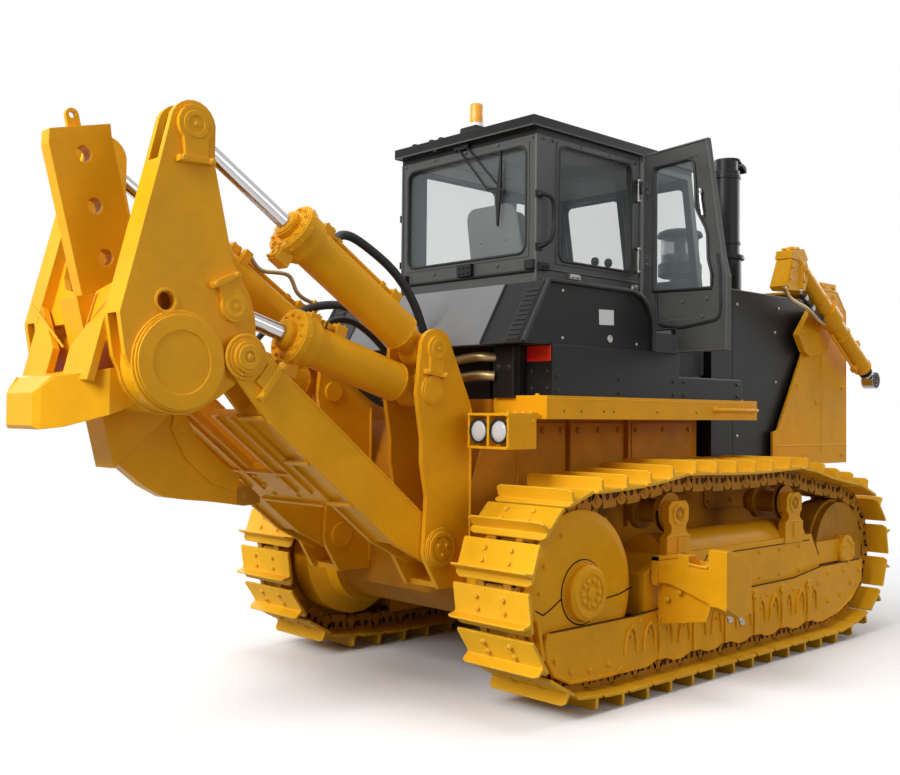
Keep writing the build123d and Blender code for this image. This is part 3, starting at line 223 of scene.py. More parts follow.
def finish(name, colour, roughness, metallic=0.0, coat=0.0, grain=0.12, bump=0.04, shade=0.86, edge=None, scale=3.0,
        edge_radius=0.006, dust=None, specular=0.5):
    """A painted, cast or moulded finish with colour drift, fine grain, softened edges, a lighter colour along edges
    that is painted highlight and worn paint, and a little dust.
    """
    skin = bpy.data.materials.new(name)
    skin.use_nodes = True
    tree = skin.node_tree
    shader = tree.nodes["Principled BSDF"]
    place = tree.nodes.new("ShaderNodeTexCoord").outputs["Object"]
    drift = add(tree, "ShaderNodeTexNoise", Vector=place, Scale=scale, Detail=5.0, Roughness=0.6)
    fine = add(tree, "ShaderNodeTexNoise", Vector=place, Scale=scale * 60, Detail=3.0, Roughness=0.55)
    base = ramp(tree, drift.outputs["Fac"], 0.35, 0.65, [c * shade for c in colour], colour)
    mask, soft_normal = edge_mask(tree, edge_radius)
    # a lighter colour along edges: painted highlight, and worn paint
    if edge is not None:
        edge_highlight_and_wear = ramp(tree, mask, 0.93, 0.995, (1, 1, 1), (0, 0, 0))
        base = mixed(tree, edge_highlight_and_wear, base, edge)
    if dust is not None:
        settled = ramp(tree, drift.outputs["Fac"], 0.5, 0.72, (0, 0, 0), (dust[3],) * 3)
        base = mixed(tree, settled, base, dust[:3])
    rough = add(tree, "ShaderNodeMapRange", Value=drift.outputs["Fac"], To_Min=max(0.02, roughness - grain),
        To_Max=min(1.0, roughness + grain))
    relief = add(tree, "ShaderNodeBump", Strength=bump, Distance=0.002, Height=fine.outputs["Fac"],
        Normal=soft_normal)
    for socket, value in (("Base Color", base), ("Roughness", rough.outputs[0]), ("Normal", relief.outputs[0]),
            ("Metallic", metallic), ("Coat Weight", coat), ("Coat Roughness", 0.15),
            ("Specular IOR Level", specular)):
        put(tree, shader.inputs[socket], value)
    return skin


# the edge colours below are painted highlight along edges, and worn paint
yellow = finish("yellow_paint", (0.86, 0.395, 0.008), 0.42, coat=0.03, edge=(0.93, 0.52, 0.04), specular=0.09)
shoe_yellow = finish("shoe_yellow", (0.88, 0.45, 0.010), 0.5, coat=0.05, shade=0.84, edge=(0.98, 0.62, 0.08),
    dust=(0.62, 0.34, 0.05, 0.2), specular=0.14)
chain_yellow = finish("chain_yellow", (0.58, 0.25, 0.012), 0.55, shade=0.62, edge=(0.80, 0.42, 0.05),
    dust=(0.30, 0.14, 0.03, 0.5), specular=0.15)
# a darker copy of the yellow paint for the main frame and the case between the tracks, which sit in shade: painted
# shade
painted_shade_yellow = finish("painted_shade_yellow", (0.56, 0.22, 0.008), 0.5, shade=0.72, specular=0.12)
black = finish("black_paint", (0.012, 0.0118, 0.0112), 0.42, coat=0.04, shade=0.75, edge=(0.05, 0.05, 0.05),
    specular=0.16)
charcoal = finish("cab_charcoal", (0.066, 0.067, 0.064), 0.45, coat=0.05, shade=0.85, edge=(0.12, 0.12, 0.12),
    specular=0.3)
black_matt = finish("black_matt", (0.012, 0.012, 0.012), 0.6, shade=0.7, specular=0.25)
# dark for the seam lines, and painted shade in the links' nut pockets
seam_dark_and_shade = finish("seam_dark_and_shade", (0.05, 0.018, 0.003), 0.7, specular=0.15)
# a lighter grey for the rear deck that stands in for the sheen on its black paint: painted reflection
grey = finish("grey_paint", (0.16, 0.163, 0.164), 0.42, coat=0.1, shade=0.93, specular=0.3)
lining = finish("cab_lining", (0.40, 0.40, 0.39), 0.75, bump=0.15)
chrome = finish("chrome_rod", (0.50, 0.49, 0.49), 0.16, metallic=1.0, grain=0.05, bump=0.01, shade=0.95)
steel = finish("plain_steel", (0.42, 0.40, 0.37), 0.38, metallic=1.0, shade=0.75)
rubber = finish("rubber", (0.012, 0.012, 0.012), 0.55, bump=0.1, specular=0.35)
brown_pipe = finish("brown_pipe", (0.34, 0.24, 0.10), 0.35, metallic=0.6)
cloth = finish("seat_cloth", (0.035, 0.035, 0.038), 0.85, bump=0.3, scale=6)
moulded = finish("moulded_grey", (0.17, 0.175, 0.165), 0.55, bump=0.12)
white = finish("white_label", (0.78, 0.79, 0.79), 0.4)


def clear(name, colour, roughness, alpha):
    skin = finish(name, colour, roughness, grain=0.02, bump=0.0, shade=0.97)
    skin.node_tree.nodes["Principled BSDF"].inputs["Alpha"].default_value = alpha
    return skin


glass = clear("window_glass", (0.28, 0.33, 0.35), 0.05, 0.14)
lens = clear("lamp_lens", (0.80, 0.82, 0.80), 0.12, 0.7)
bowl_clear = clear("cleaner_bowl", (0.30, 0.31, 0.28), 0.15, 0.3)
amber = clear("amber_lens", (0.95, 0.40, 0.02), 0.2, 0.94)
red = finish("red_reflector", (0.85, 0.012, 0.008), 0.3, coat=0.5, scale=25, bump=0.2)


# the slot that a piece of each material goes by
slot_of = {skin.name: slot for slot, skins in (("yellow_paint", (yellow, painted_shade_yellow)),
    ("track_paint", (shoe_yellow, chain_yellow, seam_dark_and_shade)), ("black_paint", (black, charcoal, black_matt, rubber)),
    ("grey_paint", (white, lining, moulded)), ("steel", (steel, brown_pipe)), ("chrome", (chrome,)),
    ("lamp_glass", (lens, bowl_clear)), ("amber", (amber,)), ("seat_cloth", (cloth,))) for skin in skins}


def paint(skin, *names):
    for name in names:
        mesh = nodes[name].data
        mesh.materials.clear()
        mesh.materials.append(skin)


paint(yellow, "ripper_beam", "ripper_brackets", "ripper_arm", "tilt_barrels", "lift_barrels", "beam_pins", "fenders",
    "radiator_guard", "lift_yokes", "blade_lift_barrel_right", "blade_lift_barrel_left", "lamp_boxes",
    "final_drives", "track_frame_left", "track_frame_right", "ripper_shank", "tilt_pins")
paint(chain_yellow, "track_left", "track_right", "sprockets", "track_rollers", "carrier_rollers", "idlers",
    "frame_supports", "ripper_tip")
# the main frame in the darker yellow: painted shade
paint(painted_shade_yellow, "main_frame")
paint(black, "hood", "side_covers", "side_tanks", "cab_roof", "exhaust", "precleaner")
paint(charcoal, "cab", "door_right", "door_left")
paint(black_matt, "rear_tank", "radiator", "engine", "cab_consoles", "cab_mounts", "grille", "grab_rails",
    "beacon_base")
# the rear deck in lighter grey: painted reflection
paint(grey, "rear_deck")
paint(chrome, "tilt_rods", "lift_rods", "blade_lift_rod_right", "blade_lift_rod_left")
paint(glass, "cab_glass", "door_glass_right", "door_glass_left")
paint(lens, "rear_lamps")
paint(amber, "beacon")
paint(cloth, "seat")
paint(steel, "shank_pin")


# ---------------------------------------------------------------- mesh tools
def circle(radius, count):
    """Pairs of coordinates round a circle."""
    return [(radius * cos(2 * pi * k / count), radius * sin(2 * pi * k / count)) for k in range(count)]


def arc(centre, radius, start, stop, steps):
    """(x, z) points on an arc, between two angles in degrees."""
    angles = [radians(start + (stop - start) * i / steps) for i in range(steps + 1)]
    return [(centre[0] + radius * cos(a), centre[1] + radius * sin(a)) for a in angles]


def flat(y, points):
    """These (x, z) points at one distance from the middle plane."""
    return [(x, y, z) for x, z in points]


def track(axis):
    """The turn that brings Z to an axis on the side that is being made."""
    return out(axis).normalized().to_track_quat("Z", "Y")


def sides():
    """Each side in turn, right first; meanwhile y counts outward from the middle plane."""
    for side, word in ((RIGHT, "right"), (LEFT, "left")):
        Maker.side = side
        yield side, word
    Maker.side = LEFT


def out(point):
    """A place or direction on the side that is being made."""
    return Vector((point[0], Maker.side * point[1], point[2]))


class Maker:
    """A mesh in the making, in millimetres, on the side that sides() gives."""
    side = LEFT

    def __init__(self):
        self.bm = bmesh.new()

    def loft(self, sections, closed=False):
        """Join rings of points, each with as many points, and cap the ends."""
        self.join([[out(p) for p in section] for section in sections], closed)

    def join(self, sections, closed=False):
        """The same for points that already stand on their side."""
        rings = [[self.bm.verts.new(p) for p in section] for section in sections]
        pairs = list(zip(rings, rings[1:])) + ([(rings[-1], rings[0])] if closed else [])
        for low, high in pairs:
            for a, b, c, d in zip(low, low[1:] + low[:1], high[1:] + high[:1], high):
                self.bm.faces.new((a, b, c, d))
        if not closed:
            self.bm.faces.new(rings[0][::-1])
            self.bm.faces.new(rings[-1])

    def prism(self, outline, y0, y1):
        """Extrude an outline of (x, z) points between two y values."""
        self.loft([flat(y, outline) for y in (y0, y1)])

    def slab(self, outline, x0, x1):
        """Extrude an outline of (y, z) points between two x values."""
        self.loft([[(x, y, z) for y, z in outline] for x in (x0, x1)])

    def box(self, low, high):
        (x0, y0, z0), (x1, y1, z1) = low, high
        self.prism([(x0, z0), (x1, z0), (x1, z1), (x0, z1)], y0, y1)

    def brick(self, centre, ways, halves):
        """A box turned along three unit directions."""
        c, (a, b, d), (i, j, k) = Vector(centre), ways, halves
        self.loft([[c + a * i * s + b * j * t + d * end for s, t in ((-1, -1), (1, -1), (1, 1), (-1, 1))]
            for end in (-k, k)])

    def turned(self, profile, origin, axis, sides=24, closed=False):
        """Revolve (radius, height) points about an axis through a point."""
        turn, origin = track(axis), out(origin)
        self.join([[origin + turn @ Vector((x, y, h)) for x, y in circle(r, sides)] for r, h in profile], closed)

    def ring(self, origin, axis, inner, outer, height, sides=32):
        """A flat ring with softened edges that stands on a point."""
        soft = min(3, height / 3, (outer - inner) / 4)
        self.turned([(inner, -1), (outer, -1), (outer, height - soft), (outer - soft, height),
            (inner + soft, height), (inner, height - soft)], origin, axis, sides, closed=True)

    def bolt(self, origin, axis, size=15, height=14, washer=True):
        """A hex head of this half width, with its washer, standing on a point."""
        if washer:
            self.turned([(size * 1.45, -1), (size * 1.45, 3.5)], origin, axis, 14)
        self.turned([(size * 1.1, -1), (size * 1.1, height - 2), (size * 0.95, height)], origin, axis, 6)

    def bolts(self, places, axis, size=15, height=14, washer=True):
        for place in places:
            self.bolt(place, axis, size, height, washer)

    def tube(self, points, radius, sides=10, lump=0.0):
        """A round bar through points; lump makes it as uneven as a weld bead."""
        self.bar([out(p) for p in points], radius, sides, lump)

    def bar(self, points, radius, sides, lump=0.0):
        """The same for points that already stand on their side."""
        side = None
        sections = []
        for i, p in enumerate(points):
            along = (points[min(i + 1, len(points) - 1)] - points[max(i - 1, 0)]).normalized()
            side = (along.orthogonal() if side is None else side - along * side.dot(along)).normalized()
            other = along.cross(side)
            r = radius * (1 + lump * sin(i * 2.1))
            sections.append([p + side * a + other * b for a, b in circle(r, sides)])
        self.join(sections)

    def weld(self, start, end, radius=7):
        """A weld bead between two points."""
        start, end = Vector(start), Vector(end)
        steps = max(2, int((end - start).length / 14))
        self.tube([start.lerp(end, i / steps) for i in range(steps + 1)], radius, 6, 0.14)

    def weld_round(self, origin, axis, radius, bead=7):
        """A weld bead round an axis."""
        turn, origin = track(axis), out(origin)
        line = [origin + turn @ Vector((x, y, 0)) for x, y in circle(radius, int(radius / 3))]
        self.bar(line + line[:1], bead, 6, 0.14)

    def seam(self, points, y, width=7):
        """A thin line through (x, z) points on a side face at this distance from the middle plane."""
        for (x0, z0), (x1, z1) in zip(points, points[1:]):
            reach = hypot(x1 - x0, z1 - z0)
            nx, nz = (z0 - z1) / reach * width / 2, (x1 - x0) / reach * width / 2
            self.prism([(x0 - nx, z0 - nz), (x1 - nx, z1 - nz), (x1 + nx, z1 + nz), (x0 + nx, z0 + nz)], y - 4,
                y + 1.5)

    def done(self, name, skin, body="chassis", slot=None, bevel=0.0, smooth=40, replaces=()):
        bmesh.ops.recalc_face_normals(self.bm, faces=self.bm.faces)
        mesh = bpy.data.meshes.new(name)
        self.bm.to_mesh(mesh)
        self.bm.free()
        mesh.transform(to_frame)
        return placed(mesh, name, skin, body, slot, bevel, smooth, replaces)


def placed(mesh, name, skin, body="chassis", slot=None, bevel=0.0, smooth=40, replaces=()):
    """Give a mesh its object, material, edges and body; its slot, the material's own unless one is given, is looked
    up but not given to it.
    """
    mesh.polygons.foreach_set("use_smooth", [True] * len(mesh.polygons))
    mesh.set_sharp_from_angle(angle=radians(smooth))
    mesh.materials.append(skin)
    thing = linked(bpy.data.objects.new(name, mesh))
    if bevel:
        rounding = thing.modifiers.new("edges", "BEVEL")
        rounding.width = bevel * MM
        rounding.segments = 2
        rounding.limit_method = "ANGLE"
        rounding.angle_limit = radians(35)
        rounding.harden_normals = True
    if body is not None:
        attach(thing, body)
    slot = slot or slot_of.get(skin.name)
    if replaces:
        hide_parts(*replaces)
    return thing


def route(name, points):
    """A smooth line with these places as its control points."""
    data = bpy.data.curves.new(name, "CURVE")
    data.dimensions = "3D"
    spline = data.splines.new("NURBS")
    spline.points.add(len(points) - 1)
    for point, place in zip(spline.points, points):
        point.co = (*at(*out(place)), 1)
    spline.order_u = 3
    spline.use_endpoint_u = True
    spline.resolution_u = 8
    return data


def pipe(name, points, radius, body="chassis"):
    """A bent tube that turns smoothly near these places."""
    data = route(name, points)
    data.bevel_depth = radius * MM
    data.bevel_resolution = 4
    data.use_fill_caps = True
    data.materials.append(brown_pipe)
    thing = linked(bpy.data.objects.new(name, data))
    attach(thing, body)


def hose(name, points, radius, end):
    """A hose that runs between two bodies: a mesh tube along its route, put in no body."""
    line = bpy.data.objects.new(name + "_line", route(name, points))
    followed = bpy.data.meshes.new_from_object(line)
    path = [v.co.copy() for v in followed.vertices]
    bpy.data.objects.remove(line)
    bpy.data.meshes.remove(followed)
    maker = Maker()
    maker.bar([to_frame.inverted() @ p for p in path], radius, 14)
    thing = maker.done(name, rubber, None)
    length = sum((b - a).length for a, b in zip(path, path[1:]))
    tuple(path[0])
    at(*out(end))
    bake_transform(thing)


# ---------------------------------------------------------------- tracks
track_y, shoe_half = 1070, 280
shoe_count = 40
strand_y = 99           # from the middle of a track to each strand of its links
rail_drop, shoe_seat, shoe_top = 55, 57, 75
sprocket = (0, 660, 495.6)
idler = (idler_x, 640, 435)
chain_sag = 20
carriers = (910, 2330)
wheels = [(295, 312, 165), (2925, 312, 165), idler, (carriers[1], 1058, 175), (carriers[0], 1058, 175), sprocket]


def belt(wheels):
    """Straight and round stretches of a loop that runs counter-clockwise round (x, z, radius) wheels."""
    normals = []
    for (x0, z0, r0), (x1, z1, r1) in zip(wheels, wheels[1:] + wheels[:1]):
        reach = hypot(x1 - x0, z1 - z0)
        normals.append(atan2(z1 - z0, x1 - x0) - pi / 2 + asin((r0 - r1) / reach))
    stretches = []
    for i, (x, z, r) in enumerate(wheels):
        arrive, leave = normals[i - 1], normals[i]
        stretches.append(("arc", r * ((leave - arrive) % (2 * pi)), (x, z, r), arrive))
        x1, z1, r1 = wheels[(i + 1) % len(wheels)]
        a = (x + r * cos(leave), z + r * sin(leave))
        b = (x1 + r1 * cos(leave), z1 + r1 * sin(leave))
        stretches.append(("line", hypot(b[0] - a[0], b[1] - a[1]), a, b))
    return stretches


def point_on(stretches, distance):
    for kind, length, first, second in stretches:
        if distance <= length:
            if kind == "arc":
                x, z, r = first
                angle = second + distance / r
                return (x + r * cos(angle), z + r * sin(angle))
            share = distance / length
            return (first[0] + (second[0] - first[0]) * share, first[1] + (second[1] - first[1]) * share)
        distance -= length
    return point_on(stretches, distance)


def sagged(point):
    x, z = point
    supports = (sprocket[0], *carriers, idler[0])
    for rear, front in zip(supports, supports[1:]):
        if rear < x < front and z > sprocket[1]:
            share = (x - rear) / (front - rear)
            return (x, z - 4 * chain_sag * share * (1 - share))
    return point


chain = belt(wheels)
pitch = sum(stretch[1] for stretch in chain) / shoe_count
pins = [sagged(point_on(chain, 40 + i * pitch)) for i in range(shoe_count)]


def link_places():
    """For each link, a function from (along, out, across) in millimetres to a place."""
    for (x0, z0), (x1, z1) in zip(pins, pins[1:] + pins[:1]):
        length = hypot(x1 - x0, z1 - z0)
        ux, uz = (x1 - x0) / length, (z1 - z0) / length
        yield lambda s, h, w, x0=x0, z0=z0, ux=ux, uz=uz: Vector((x0 + ux * s + uz * h, w, z0 + uz * s - ux * h))


shoe_profile = [(-28, 57), (-28, 69), (-18, 75), (122, 75), (133, 84), (138, 145), (141, 147), (146, 147),
    (149, 145), (154, 84), (162, 75), (192, 75), (199, 70), (199, 60), (192, 57)]


def make_shoes(word):
    maker = Maker()
    for place in link_places():
        sections = []
        # always toward the left, so that the twisted faces at a shoe's ends fold alike on both sides
        for w, cut in ((-shoe_half, 1), (-shoe_half + 26, 0), (shoe_half - 26, 0), (shoe_half, 1))[::Maker.side]:
            section = []
            for s, h in shoe_profile:
                s_cut = s - 16 * cut if s > 160 else s
                h_cut = h - 14 * cut if h > 100 else h
                section.append(place(s_cut, h_cut, track_y + w))
            sections.append(section)
        maker.loft(sections)
        normal = place(0, 1, 0) - place(0, 0, 0)
        for s in (22, 92):
            for w in (-strand_y, strand_y):
                maker.bolt(place(s, shoe_top, track_y + w), normal, 14, 16, washer=False)
    maker.done(f"shoes_{word}", shoe_yellow)


def make_links(word):
    maker = Maker()
    eye_radius, pin_radius, bush_radius, half_link = 50, 21, 35, 24
    for place in link_places():
        for strand in (-1, 1):
            base = track_y + strand * strand_y
            outer, inner = base + strand * half_link, base - strand * half_link
            body = [(20, shoe_seat), (20, 20), (55, -15), (55, -rail_drop), (175, -rail_drop), (175, -15), (210, 20),
                (210, shoe_seat)]
            maker.loft([[place(s, h, w) for s, h in body] for w in (inner, outer)])
            for centre, w0, w1 in ((0, inner, base - strand), (pitch, base + strand, outer)):
                maker.loft([[place(centre + s, h, w) for s, h in circle(eye_radius, 20)] for w in (w0, w1)])
            maker.loft([[place(pitch + s, h, w) for s, h in circle(pin_radius, 14)]
                for w in (outer, outer + strand * 7)])
        maker.loft([[place(s, h, track_y + w) for s, h in circle(bush_radius, 14)] for w in (-75, 75)])
    maker.done(f"links_{word}", chain_yellow, replaces=(f"track_{word}",))


def make_nut_pocket_shade(word):
    """Dark blocks that fill the links' pockets where the shoe bolts' nuts sit: painted shade in place of the
    recesses.
    """
    maker = Maker()
    for place in link_places():
        for s in (68, 132):
            hole = [(s - 16, 30), (s + 16, 30), (s + 16, 2), (s, -14), (s - 16, 2)]
            for strand in (-1, 1):
                w = track_y + strand * (strand_y + 24)
                maker.loft([[place(a, h, v) for a, h in hole] for v in (w - strand * 20, w + strand * 0.6)])
    maker.done(f"nut_pocket_shade_{word}", seam_dark_and_shade)


for _, word in sides():
    make_shoes(word)
    make_links(word)
    make_nut_pocket_shade(word)


# ---------------------------------------------------------------- ripper
linkage_y = 460
arm_pivot, beam_pivot = (-500, 880), (-1786, 1915)
tilt_base, tilt_eye = (-541, 2014), (-2071, 3013)
lift_base, lift_eye = (-577, 1779), (-1838, 2160)
tube_centre = (-2129, 1877)
tower_out, tower_in = 541, 379          # faces of the towers' plates


def cap_details(maker, centre, radius, turn, face, bar_face):
    """Turned rings on a pin's end plate, and the bolts of its keeper bar."""
    x, z = centre
    maker.ring((x, face, z), outward, 0.45 * radius, 0.72 * radius, 4)
    maker.bolt((x, face, z), outward, 9, 9)
    a, reach = radians(turn), 1.85 * radius
    for w in (-0.84 * radius, 0.84 * radius):
        maker.bolt((x + reach * cos(a) + w * sin(a), bar_face, z + reach * sin(a) - w * cos(a)), outward, 13, 15)


def on_line(start, end):
    """Unit vectors along and above a line in a side plane, and a function to the points beside it."""
    reach = hypot(end[0] - start[0], end[1] - start[1])
    u = Vector((end[0] - start[0], 0, end[1] - start[1])) / reach
    above = Vector((u.z, 0, -u.x)) if u.x < 0 else Vector((-u.z, 0, u.x))
    return u, above, reach, lambda d, h, y: Vector((start[0], y, start[1])) + u * d + above * h


def ripper_cylinder(name, base, eye, barrel, head, rod, eye_radius, ports):
    """Fasteners, ports and collars of a pair of cylinders; distances are from the base pin."""
    u, above, reach, point = on_line(base, eye)
    ways = (u, outward, above)
    radius, head_radius = 112, 140
    maker, seals, rods = Maker(), Maker(), Maker()
    y = linkage_y
    for side, _ in sides():
        for a, b in circle(1, 12):
            way = above * a + outward * b
            maker.bolt(point(head[1], 0, y) + way * 118, u, 10, 15)
            maker.bolt(point(head[1] - 40, 0, y) + way * 149, u, 7, 12, washer=False)
        maker.weld_round(point(barrel[0] + 2, 0, y), u, radius - 6, 9)
        maker.ring(point(head[0] - 26, 0, y), u, radius - 2, radius + 13, 26, 48)
        maker.weld_round(point(head[0] - 30, 0, y), u, radius + 2, 7)
        maker.bolts([point(place + s, radius + 52, y + w) for place in ports for s in (-20, 20) for w in (-20, 20)],
            above, 7, 10, washer=False)
        for place in (ports[0] + 110, ports[1] - 90):
            maker.brick(point(place, radius + 22, y), ways, (15, 26, 16))
            maker.bolt(point(place, radius + 38, y), above, 8, 10)
        # the port block under the head, with its flange bolts toward the rod
        maker.brick(point(head[1] - 42, -head_radius - 26, y), ways, (42, 40, 40))
        maker.ring(point(head[1], -head_radius - 28, y), u, 10, 32, 12)
        maker.bolts([point(head[1], -head_radius - 28 + s, y + w) for s in (-26, 26) for w in (-26, 26)], u, 8, 20,
            washer=False)
        maker.weld(point(100, 66, y - 40 * side), point(100, 66, y + 40 * side), 8)
        maker.bolt(point(-93, 0, y), -u, 8, 12)
        seals.turned([(rod + 0.5, -2), (rod + 30, -2), (rod + 30, 7), (rod + 20, 12), (rod + 0.5, 12)],
            point(head[1] + 34, 0, y), u, 40, closed=True)
        rods.turned([(rod - 2, -44), (rod + 5, -40), (rod + 13, -20), (rod + 13, 4)],
            point(reach - eye_radius, 0, y), u, 40)
        for w in (-39, 39):
            rods.ring((eye[0], y + w, eye[1]), outward if w > 0 else inward, eye_radius - 28, eye_radius - 10, 3, 40)
        rods.bolt(Vector((eye[0], y, eye[1])) + above * (eye_radius - 1), above, 7, 14)
    maker.done(f"{name}_barrel_fittings", yellow, f"{name}_barrels", smooth=35)
    seals.done(f"{name}_rod_seals", yellow, f"{name}_barrels")
    rods.done(f"{name}_rod_collars", yellow, f"{name}_rods")


ripper_cylinder("tilt", tilt_base, tilt_eye, (170, 970), (970, 1090), 40, 85, (330, 900))
ripper_cylinder("lift", lift_base, lift_eye, (160, 800), (800, 920), 44, 75, (620, 800))

beam, brackets, arm, pin_caps = Maker(), Maker(), Maker(), Maker()
arm_u, arm_up, arm_reach, on_arm = on_line(arm_pivot, beam_pivot)
arm_ways = (arm_u, outward, arm_up)
for _ in sides():
    cap_details(beam, lift_eye, 76, 115, 562, 573)
    cap_details(beam, tilt_eye, 92, 272, 564, 576)
    cap_details(brackets, tilt_base, 76, 262, 630, 640)
    # the beam's tube shows its turned end outside each tower, welded to both plates
    beam.ring((tube_centre[0], 566, tube_centre[1]), outward, 150, 226, 7, 64)
    beam.weld_round((tube_centre[0], tower_out, tube_centre[1]), outward, 239, 9)
    beam.weld_round((tube_centre[0], tower_in, tube_centre[1]), outward, 239, 9)
    beam.ring((-2203, 540, 2163), outward, 45, 60, 8, 40)
    # weld beads along the towers' plates and the rear gussets
    for y in (504, 416):
        beam.weld((-2230, y, 2835), (-2418, y, 2110), 6)
        beam.weld((-1953, y, 2830), (-1848, y, 2392), 6)
    beam.weld((-2176, 380, 2620), (-2322, 380, 2085), 7)
    beam.weld((-2412, 98, 1960), (-2462, 376, 2190), 7)
    beam.weld((-2660, 150, 1725), (-2592, 210, 1806), 6)
    # stepped end of the beam's pin, its tab and the keeper bar bolted to the arm
    x, z = beam_pivot
    pin_caps.ring((x, 609, z), outward, 30, 62, 7)
    pin_caps.bolt((x, 609, z), outward, 13, 12)
    pin_caps.bolt((x - 28, 591, z - 84), outward, 6, 6)
    arm.ring((x, 574, z), outward, 97, 116, 12, 48)
    way = Vector((cos(radians(-38)), 0, sin(radians(-38))))
    off = Vector((-way.z, 0, way.x))
    middle = Vector((x, 583, z))
    arm.brick(middle + way * 150, (way, off, outward), (34, 58, 9))
    arm.brick(middle + way * 188, (way, off, outward), (17, 116, 14))
    for w in (-94, 94):
        arm.bolt(middle + way * 188 + off * w + outward * 14, outward, 13, 15)
    # the bracket's other pins
    brackets.ring((arm_pivot[0], 624, arm_pivot[1]), outward, 62, 98, 6, 48)
    brackets.bolts(flat(624, arc(arm_pivot, 36, degrees(0.5), degrees(0.5) + 240, 2)), outward, 11, 13)
    brackets.ring((lift_base[0], 624, lift_base[1]), outward, 44, 72, 5, 48)
    brackets.weld_round((arm_pivot[0], 611, arm_pivot[1]), outward, 114, 7)
    for y in (612, 308):
        brackets.weld((-268, y, 700), (-268, y, 1680), 8)
    brackets.weld((-480, 575, 682), (-270, 575, 682), 8)
    # weld beads and stiffeners of the arm's legs
    for height in (88, -158):
        arm.weld(on_arm(260, height, 577), on_arm(arm_reach - 300, height, 577), 6)
        arm.weld(on_arm(260, height, 343), on_arm(arm_reach - 300, height, 343), 6)
    for d in (640, 1010, 1380):
        arm.brick(on_arm(d, -168, 460), arm_ways, (14, 104, 7))
    arm.ring((x, 344, z), inward, 62, 96, 6, 48)
# the plate under the arm's bridge, cut away in a U behind the shank
for y in (-300, -160, 160, 300):
    arm.brick(on_arm(1060, -170, y), arm_ways, (330, 8, 12))
for d in (625, 905):
    arm.brick(on_arm(d, -170, 0), arm_ways, (9, 300, 12))
arm.bolts([on_arm(d, -164, y) for y in (-120, 120) for d in (680, 770, 860)], -arm_up, 12, 13)
beam.done("beam_fittings", yellow, "ripper_beam", bevel=1.5)
pin_caps.done("beam_pin_ends", yellow, "beam_pins")
arm.done("arm_fittings", yellow, "ripper_arm", bevel=2)
brackets.done("bracket_fittings", yellow)

# the shank's protector with its two pins, and the wedge-shaped tip
shank = Maker()
shank.prism([(-1876, 1668), (-1832, 1652), (-1746, 1508), (-1588, 1368), (-1482, 1300), (-1500, 1216), (-1650, 1262),
    (-1812, 1402), (-1898, 1560)], -62, 62)
for x, z in ((-1828, 1560), (-1628, 1330)):
    shank.turned([(17, -66), (17, 66)], (x, 0, z), outward, 20)
    shank.turned([(24, 62), (24, 70)], (x, 0, z), outward, 20)
shank.done("shank_protector", yellow, "ripper_beam", bevel=5)
tip = Maker()
tip.loft([[(x, y0, z0), (x, y1, z0), (x, y1, z1), (x, y0, z1)]
    for x, y0, y1, z0, z1 in ((-1490, -54, 54, 1146, 1226), (-1455, -58, 58, 1135, 1243),
    (-1428, -57, 57, 1136, 1249), (-1375, -50, 50, 1139, 1210), (-1338, -40, 40, 1142, 1178))])
tip.turned([(13, -64), (13, 64)], (-1452, 0, 1190), outward, 16)
tip.done("tip_wedge", chain_yellow, "ripper_beam", slot="yellow_paint", bevel=4, replaces=("ripper_tip",))
pull = Maker()
for _ in sides():
    pull.turned([(34, -2), (34, 8), (26, 14), (10, 14)], (-2203, 128, 2166), outward, 28)
pull.tube(flat(-146, arc((-2203, 2122), 44, 0, 360, 24)), 5)
pull.done("shank_pin_ends", steel, "ripper_beam")


